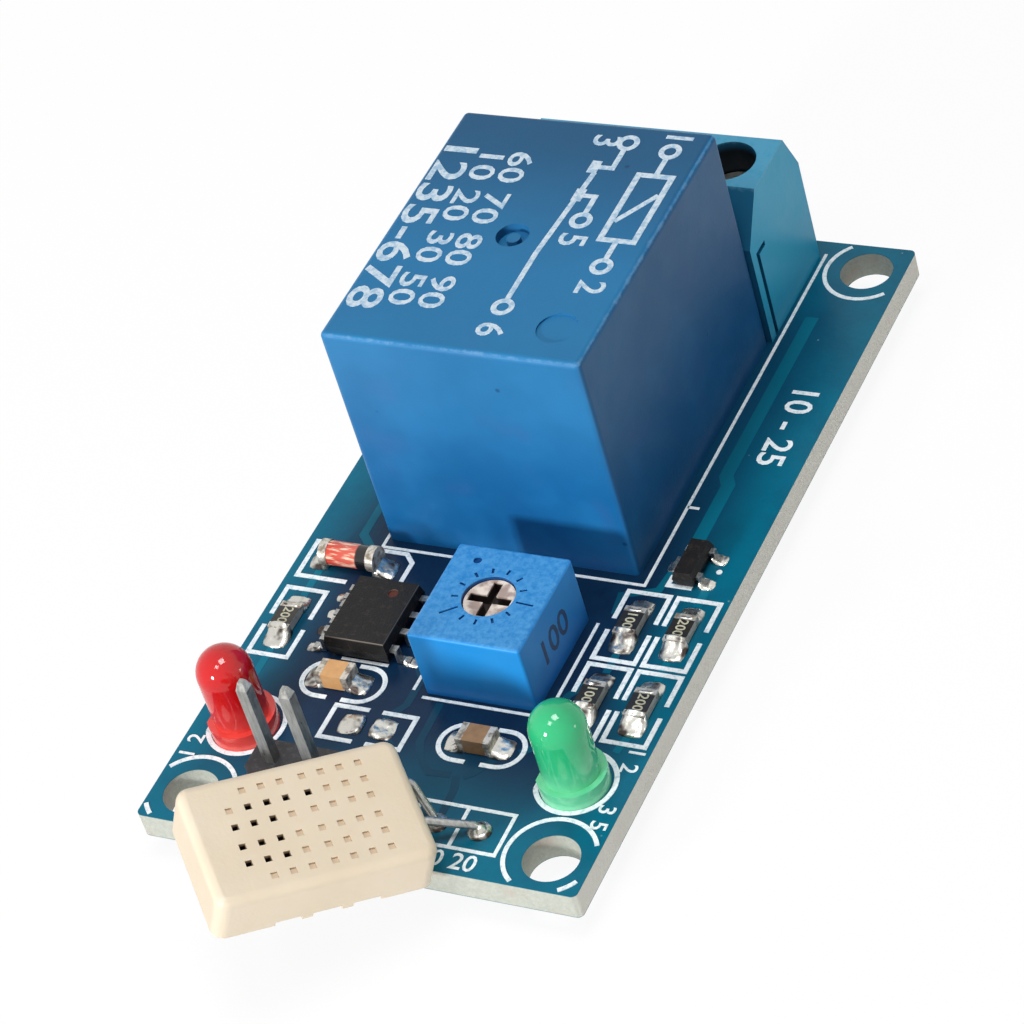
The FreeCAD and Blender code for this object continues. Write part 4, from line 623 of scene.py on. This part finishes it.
# The chip, the transistor and the chip parts: black moulding compound over their dies,
# glazed resistors with plain figures, and bare ceramic capacitors.
compound = Finish("moulding_compound", shade(30, 28, 27), 0.45, Specular_IOR_Level=0.22)
rust = compound.ramp(compound.cloud(0.4, 4, 0.7), 0.52, 0.72)
chip_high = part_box("chip_body")[1] * 1000
compound_colour = compound.mix(rust * 0.45, shade(20, 19, 19), shade(74, 60, 50))
# Painted highlight: the sides of the chip and the transistor are painted paler just under the top edge.
rim = compound.ramp(compound.along("Z"), chip_high.z - 0.12, chip_high.z - 0.04)
flank = compound.ramp(compound.along("Z", compound.facing), 0.9, 0.6)
compound_colour = compound.mix(rim * flank * 0.7, compound_colour, shade(150, 142, 132))
dot_place, dot_radius, dot_blur = (-4.99, -8.37, chip_high.z), 0.3, 0.04
from_dot = compound.add("ShaderNodeVectorMath", {"operation": "DISTANCE"},
                        {0: compound.place, 1: dot_place}, "Value")
in_dot = compound.ramp(from_dot, dot_radius + dot_blur, dot_radius - dot_blur)
compound_colour = compound.mix(in_dot * 0.5, compound_colour, shade(120, 60, 46))
compound.wear({"Base Color": compound_colour,
               "Roughness": compound.cloud(0.6, 3) * 0.3 + 0.3,
               "Normal": compound.relief(compound.cloud(0.12, 3), 0.03)})
compound.dress(nodes["chip_body"], nodes["transistor_body"])
glaze = Finish("black_glaze", shade(28, 27, 28), 0.25)
black = glaze.mix(glaze.cloud(0.4, 3), shade(18, 17, 15), shade(50, 46, 40))
alumina = glaze.mix(glaze.cloud(0.3, 3), shade(150, 146, 138), shade(206, 202, 192))
glaze.wear({"Base Color": glaze.mix(glaze.ramp(glaze.along("Z", glaze.facing), 0.6, 0.9), alumina, black),
            "Roughness": glaze.cloud(0.3, 3) * 0.2 + 0.2})
glaze.dress(*[nodes[f"resistor_{number}"] for number in range(1, 6)])
value_mesh = bmesh.new()
value_height = 0.82
for number, figures in ((1, "100"), (2, "200"), (3, "100"), (4, "200"), (5, "200")):
    resistor_low, resistor_high = [corner * 1000 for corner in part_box(f"resistor_{number}")]
    middle = (resistor_low + resistor_high) / 2
    printed_number(value_mesh, figures, value_height,
                   Matrix.Translation((middle.x, middle.y, resistor_high.z + ink_lift)) @ sideways)
tinned_end = Finish("tinned_end", shade(196, 190, 178), 0.4, Metallic=0.55)
caked = tinned_end.ramp(tinned_end.cloud(0.35, 4, 0.6), 0.4, 0.65)
tinned_end.wear({"Base Color": tinned_end.mix(caked, shade(214, 208, 196), shade(132, 120, 106)),
                 "Roughness": caked * 0.2 + 0.3,
                 "Normal": tinned_end.relief(tinned_end.cloud(0.2, 3), 0.02)})
tinned_end.dress(*[nodes[name] for name in ("resistor_ends", "capacitor_ends", "diode_ends")])
yellow_ink = Finish("pale_yellow_ink", shade(206, 196, 150), 0.5)
rubbed = yellow_ink.cloud(0.15, 3)
yellow_ink.wear({"Base Color": yellow_ink.mix(rubbed, shade(150, 146, 124), shade(222, 218, 190)),
                 "Roughness": yellow_ink.cloud(0.3) * 0.2 + 0.4})
finished("resistor_figures", value_mesh, "root", yellow_ink)
for number, light, dark in ((1, shade(226, 178, 122), shade(196, 140, 84)),
                            (2, shade(176, 138, 98), shade(116, 84, 52))):
    fired = Finish(f"fired_ceramic_{number}", light, 0.4)
    fired.wear({"Base Color": fired.mix(fired.cloud(0.5, 4, 0.6), dark, light),
                "Roughness": fired.cloud(0.3, 3) * 0.25 + 0.25,
                "Normal": fired.relief(fired.cloud(0.1, 3), 0.01)})
    fired.dress(nodes[f"capacitor_{number}"])

# The diode: its die and its whiskers sealed in a glass tube, orange with painted cream
# highlights along it, with a black band at the cathode.
glass = Finish("diode_glass", shade(214, 96, 52), 0.1, Specular_IOR_Level=0.6)
tube_low, tube_high = [corner * 1000 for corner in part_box("diode_glass")]
drawn_out = glass.add("ShaderNodeVectorMath", {"operation": "MULTIPLY"},
                      {0: glass.place, 1: (0.35, 2.0, 2.0)})
# Painted highlight: cream streaks along the tube.
streak = glass.ramp(glass.cloud(0.35, 2, 0.5, drawn_out), 0.48, 0.66)
past_end = glass.ramp(glass.along("X"), tube_low.x, tube_low.x + 1.5)
tube = glass.mix(past_end, shade(206, 62, 40), shade(214, 96, 80))
tube = glass.mix(streak, tube, shade(250, 214, 184))
band = glass.ramp(glass.along("X"), tube_high.x - 0.72, tube_high.x - 0.6)
glass.wear({"Base Color": glass.mix(band, tube, shade(24, 20, 20)),
            "Roughness": glass.cloud(0.5) * 0.1 + 0.06})
glass.dress(nodes["diode_glass"])

# Solder: bright tin alloy, run out over the pads and drawn up the ends of the parts.
# It wets no two pads alike, so each fillet and bead swells unevenly. The empty place
# beside the header has two soldered pads and no part on them.
solder = Finish("bright_solder", shade(206, 208, 212), 0.22, Metallic=1.0)
dull = solder.ramp(solder.cloud(0.9, 2, 0.5), 0.46, 0.64)
solder.wear({"Base Color": solder.mix(dull, shade(206, 204, 196), shade(70, 62, 58)),
             "Roughness": dull * 0.2 + 0.26,
             "Normal": solder.relief(solder.cloud(0.7, 2), 0.05)})
solder.dress(nodes["solder_under"])


class Pattern(NodeWork):
    """A tree that makes what repeats, with its sizes as named inputs."""

    def __init__(self, name, sizes):
        self.group = bpy.data.node_groups.new(name, "GeometryNodeTree")
        super().__init__(self.group)
        self.values = {}
        face = self.group.interface
        face.new_socket("Geometry", in_out="OUTPUT", socket_type="NodeSocketGeometry")
        face.new_socket("Geometry", in_out="INPUT", socket_type="NodeSocketGeometry")
        for label, value in sizes.items():
            kind = "NodeSocketMaterial" if isinstance(value, bpy.types.Material) else "NodeSocketFloat"
            self.values[face.new_socket(label, in_out="INPUT", socket_type=kind).identifier] = value
        entry = self.tree.nodes.new("NodeGroupInput")
        self.entry = {socket.name: Socket(self, socket) for socket in entry.outputs}
        self.exit = self.tree.nodes.new("NodeGroupOutput")

    def plain_mesh(self, points, attributes):
        """Runs the tree on loose points with those attributes, and returns its result as a plain mesh."""
        seed = bpy.data.meshes.new("points")
        seed.from_pydata(points, [], [])
        for label, vectors in attributes.items():
            layer = seed.attributes.new(label, "FLOAT_VECTOR", "POINT")
            layer.data.foreach_set("vector", [part for vector in vectors for part in vector])
        holder = bpy.data.objects.new("points", seed)
        bpy.context.scene.collection.objects.link(holder)
        change = holder.modifiers.new("pattern", "NODES")
        change.node_group = self.group
        for identifier, value in self.values.items():
            change[identifier] = value
        bpy.context.view_layer.update()
        result = bpy.data.meshes.new_from_object(holder.evaluated_get(bpy.context.evaluated_depsgraph_get()))
        holder.modifiers.remove(change)
        bpy.data.objects.remove(holder)
        return result


def solder_pattern(name, unit, lump_size, lump_height):
    """Stands one solder shape on each point, swells it unevenly and seats it on the board."""
    shape = Pattern(name, {"Lump size": lump_size, "Lump height": lump_height, "Solder": solder.material})
    turn, size = [shape.add("GeometryNodeInputNamedAttribute", {"data_type": "FLOAT_VECTOR"},
                            {"Name": label}) for label in ("turn", "spread")]
    spread = shape.add("GeometryNodeInstanceOnPoints", inputs={
        "Points": shape.entry["Geometry"], "Instance": unit(shape), "Rotation": turn, "Scale": size})
    real = shape.add("GeometryNodeRealizeInstances", inputs={0: spread})
    spot = shape.add("GeometryNodeInputPosition")
    lumps = shape.add("ShaderNodeTexNoise", {"noise_dimensions": "3D"},
                      {"Vector": spot, "Scale": 1000 / shape.entry["Lump size"], "Detail": 2.0})
    full_swing = 2 / 1000
    swell = shape.add("ShaderNodeVectorMath", {"operation": "SCALE"},
                      {0: shape.add("GeometryNodeInputNormal"),
                       "Scale": (lumps - 0.5) * shape.entry["Lump height"] * full_swing})
    swollen = shape.add("GeometryNodeSetPosition", inputs={0: real, "Offset": swell})
    parts = [shape.add("ShaderNodeSeparateXYZ", inputs={0: spot}, output=axis) for axis in range(3)]
    lowest = (board_top - 0.03) / 1000
    seat = shape.add("ShaderNodeCombineXYZ", inputs={"X": parts[0], "Y": parts[1],
                                                     "Z": parts[2].most(lowest)})
    seated = shape.add("GeometryNodeSetPosition", inputs={0: swollen, "Position": seat})
    smooth = shape.add("GeometryNodeSetShadeSmooth", inputs={0: seated})
    whole = shape.add("GeometryNodeRealizeInstances", inputs={0: smooth})
    shape.join(shape.exit.inputs[0], shape.add("GeometryNodeSetMaterial",
                                               inputs={0: whole, "Material": shape.entry["Solder"]}))
    return shape


def bead_unit(shape):
    """A round bead, 1 mm in radius."""
    return shape.add("GeometryNodeMeshUVSphere", inputs={"Segments": 40, "Rings": 24, "Radius": 0.001})


def fillet_unit(shape):
    """A pad 2 mm each way with soft corners, drawn up at its -X edge to 1 mm over a thin film."""
    sheet = shape.add("GeometryNodeMeshCube", inputs={"Size": (0.002, 0.002, 0.001), "Vertices X": 23,
                                                      "Vertices Y": 23, "Vertices Z": 3})
    spot = shape.add("GeometryNodeInputPosition")
    along, aside, up = [shape.add("ShaderNodeSeparateXYZ", inputs={0: spot}, output=axis) * 1000
                        for axis in range(3)]
    heel, film, edge_drop, pinch_along, pinch_aside = 0.92, 0.16, 0.8, 0.16, 0.14
    climb = (1 - (along + 1) * 0.5) ** 2.0
    edge = (1 - abs(aside) ** 6 * edge_drop) * (1 - abs(along) ** 10 * edge_drop)
    high = (climb * heel + film) * edge
    place = shape.add("ShaderNodeCombineXYZ", inputs={
        "X": along * (1 - aside * aside * pinch_along) * 0.001,
        "Y": aside * (1 - along * along * pinch_aside) * 0.001,
        "Z": (up + 0.5) * high * 0.001})
    return shape.add("GeometryNodeSetPosition", inputs={0: sheet, "Position": place})


class Spots:
    """Places for one solder shape, with the turn and the size at each."""

    def __init__(self):
        self.places, self.turned, self.spreads = [], [], []

    def put(self, x, y, across, along, rise, turn=0.0):
        self.places.append((x / 1000, y / 1000, board_top / 1000))
        self.turned.append((0, 0, math.radians(turn)))
        self.spreads.append((across, along, rise))


fillets, beads = Spots(), Spots()
chip_half, pad_middle = 1.0, 0.27
for resistor_x, resistor_y in resistor_places:
    fillets.put(resistor_x + 0.03, resistor_y - chip_half - pad_middle, 0.74, 0.76, 0.86, -90)
    fillets.put(resistor_x - 0.02, resistor_y + chip_half + pad_middle, 0.7, 0.72, 0.74, 90)
for capacitor_x, capacitor_y in ((-6.15, -13.78), (3.7, -16.5)):
    for end in (-1, 1):
        fillets.put(capacitor_x + (chip_half + pad_middle) * end, capacitor_y,
                    0.72, 0.74, 0.66 + 0.06 * end, 90 - 90 * end)
empty_x, empty_y, empty_apart = -3.03, -16.54, 0.96
diode_x, diode_y, diode_apart = -9.3, -5.4, 2.02
for end in (-1, 1):
    fillets.put(empty_x + empty_apart * end, empty_y, 0.74, 0.74, 0.3, 90 - 90 * end)
    fillets.put(diode_x + diode_apart * end, diode_y, 0.7, 0.72, 0.86, 90 - 90 * end)
comparator_x, comparator_y, lead_apart, lead_pitch = -5.65, -9.77, 3.0, 1.27
for side in (-1, 1):
    for row in range(4):
        fillets.put(comparator_x + lead_apart * side, comparator_y + lead_pitch * (row - 1.5),
                    0.5, 0.34, 0.36, 90 - 90 * side)
for lead_x, lead_y, lead_turn in ((9.0, -2.05, 180), (11.2, -3.0, 0), (11.2, -1.1, 0)):
    fillets.put(lead_x, lead_y, 0.48, 0.4, 0.38, lead_turn)
for lead_x, lead_y in ((3.69, -22.0), (6.23, -22.0)):
    beads.put(lead_x, lead_y, 0.68, 0.66, 0.3)
    beads.put(lead_x + 0.06, lead_y - 0.06, 0.42, 0.42, 0.55)
solder_mesh = bmesh.new()
for shape_name, unit, spots in (("solder_fillets", fillet_unit, fillets), ("solder_beads", bead_unit, beads)):
    shape = solder_pattern(shape_name, unit, lump_size=0.8, lump_height=0.09)
    solder_mesh.from_mesh(shape.plain_mesh(spots.places, {"turn": spots.turned, "spread": spots.spreads}))
run_out = finished("solder_mounds", solder_mesh, "root", solder, smooth=True)
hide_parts("solder_top")

# The sensor: a cream case moulded in two halves, with a grid of square vents over a
# dark coated plate. It leans past the board's front edge on its two soldered wires.
cream = Finish("cream_plastic", shade(238, 222, 194), 0.42, Subsurface_Weight=0.12,
               Subsurface_Radius=(0.001, 0.0007, 0.0004))
face_tilt = Euler([math.radians(turn) for turn in (16.95, 15.68, 47.06)]).to_matrix()
face_middle = Vector((0.53, -27.57, board_top + 5.62))


def case_axis(number):
    """How far a spot lies along one of the case's own axes, from the middle of its face."""
    axis = face_tilt.col[number]
    reach = cream.add("ShaderNodeVectorMath", {"operation": "DOT_PRODUCT"},
                      {0: cream.place, 1: tuple(axis)}, "Value")
    return reach - axis.dot(face_middle)


grid_half_length, grid_half_width, fade = 4.3, 2.85, 0.1
in_vents = (cream.ramp(abs(case_axis(0)), grid_half_length + fade, grid_half_length)
            * cream.ramp(abs(case_axis(1)), grid_half_width + fade, grid_half_width))
vent_shade = cream.ramp(case_axis(2), -0.14, -0.34) * in_vents
dimple_shade = cream.ramp(case_axis(2), -0.02, -0.1) * in_vents
soft_cream = cream.mix(cream.cloud(3.5, 3), shade(224, 206, 178), shade(236, 222, 200))
# Painted shade: the faces turned to -X, toward the key lamp, are painted darker.
lamp_side_shade = cream.ramp(cream.along("X", cream.facing), -0.3, -0.8)
soft_cream = cream.mix(lamp_side_shade * 0.6, soft_cream, shade(202, 184, 156))
soft_cream = cream.mix(cream.ramp(cream.cloud(1.1, 3), 0.62, 0.8) * 0.3, soft_cream, shade(238, 200, 172))
soft_cream = cream.mix(dimple_shade * 0.5, soft_cream, shade(206, 178, 146))
cream.wear({"Base Color": cream.mix(vent_shade, soft_cream, shade(34, 22, 14)),
            "Roughness": cream.cloud(1.2, 3) * 0.2 + 0.32,
            "Normal": cream.relief(cream.cloud(0.2, 3) + cream.cloud(2.5) * 3, 0.01)})
cream.dress(nodes["sensor_cover"], nodes["sensor_back"])
cermet.dress(nodes["sensor_plate"])
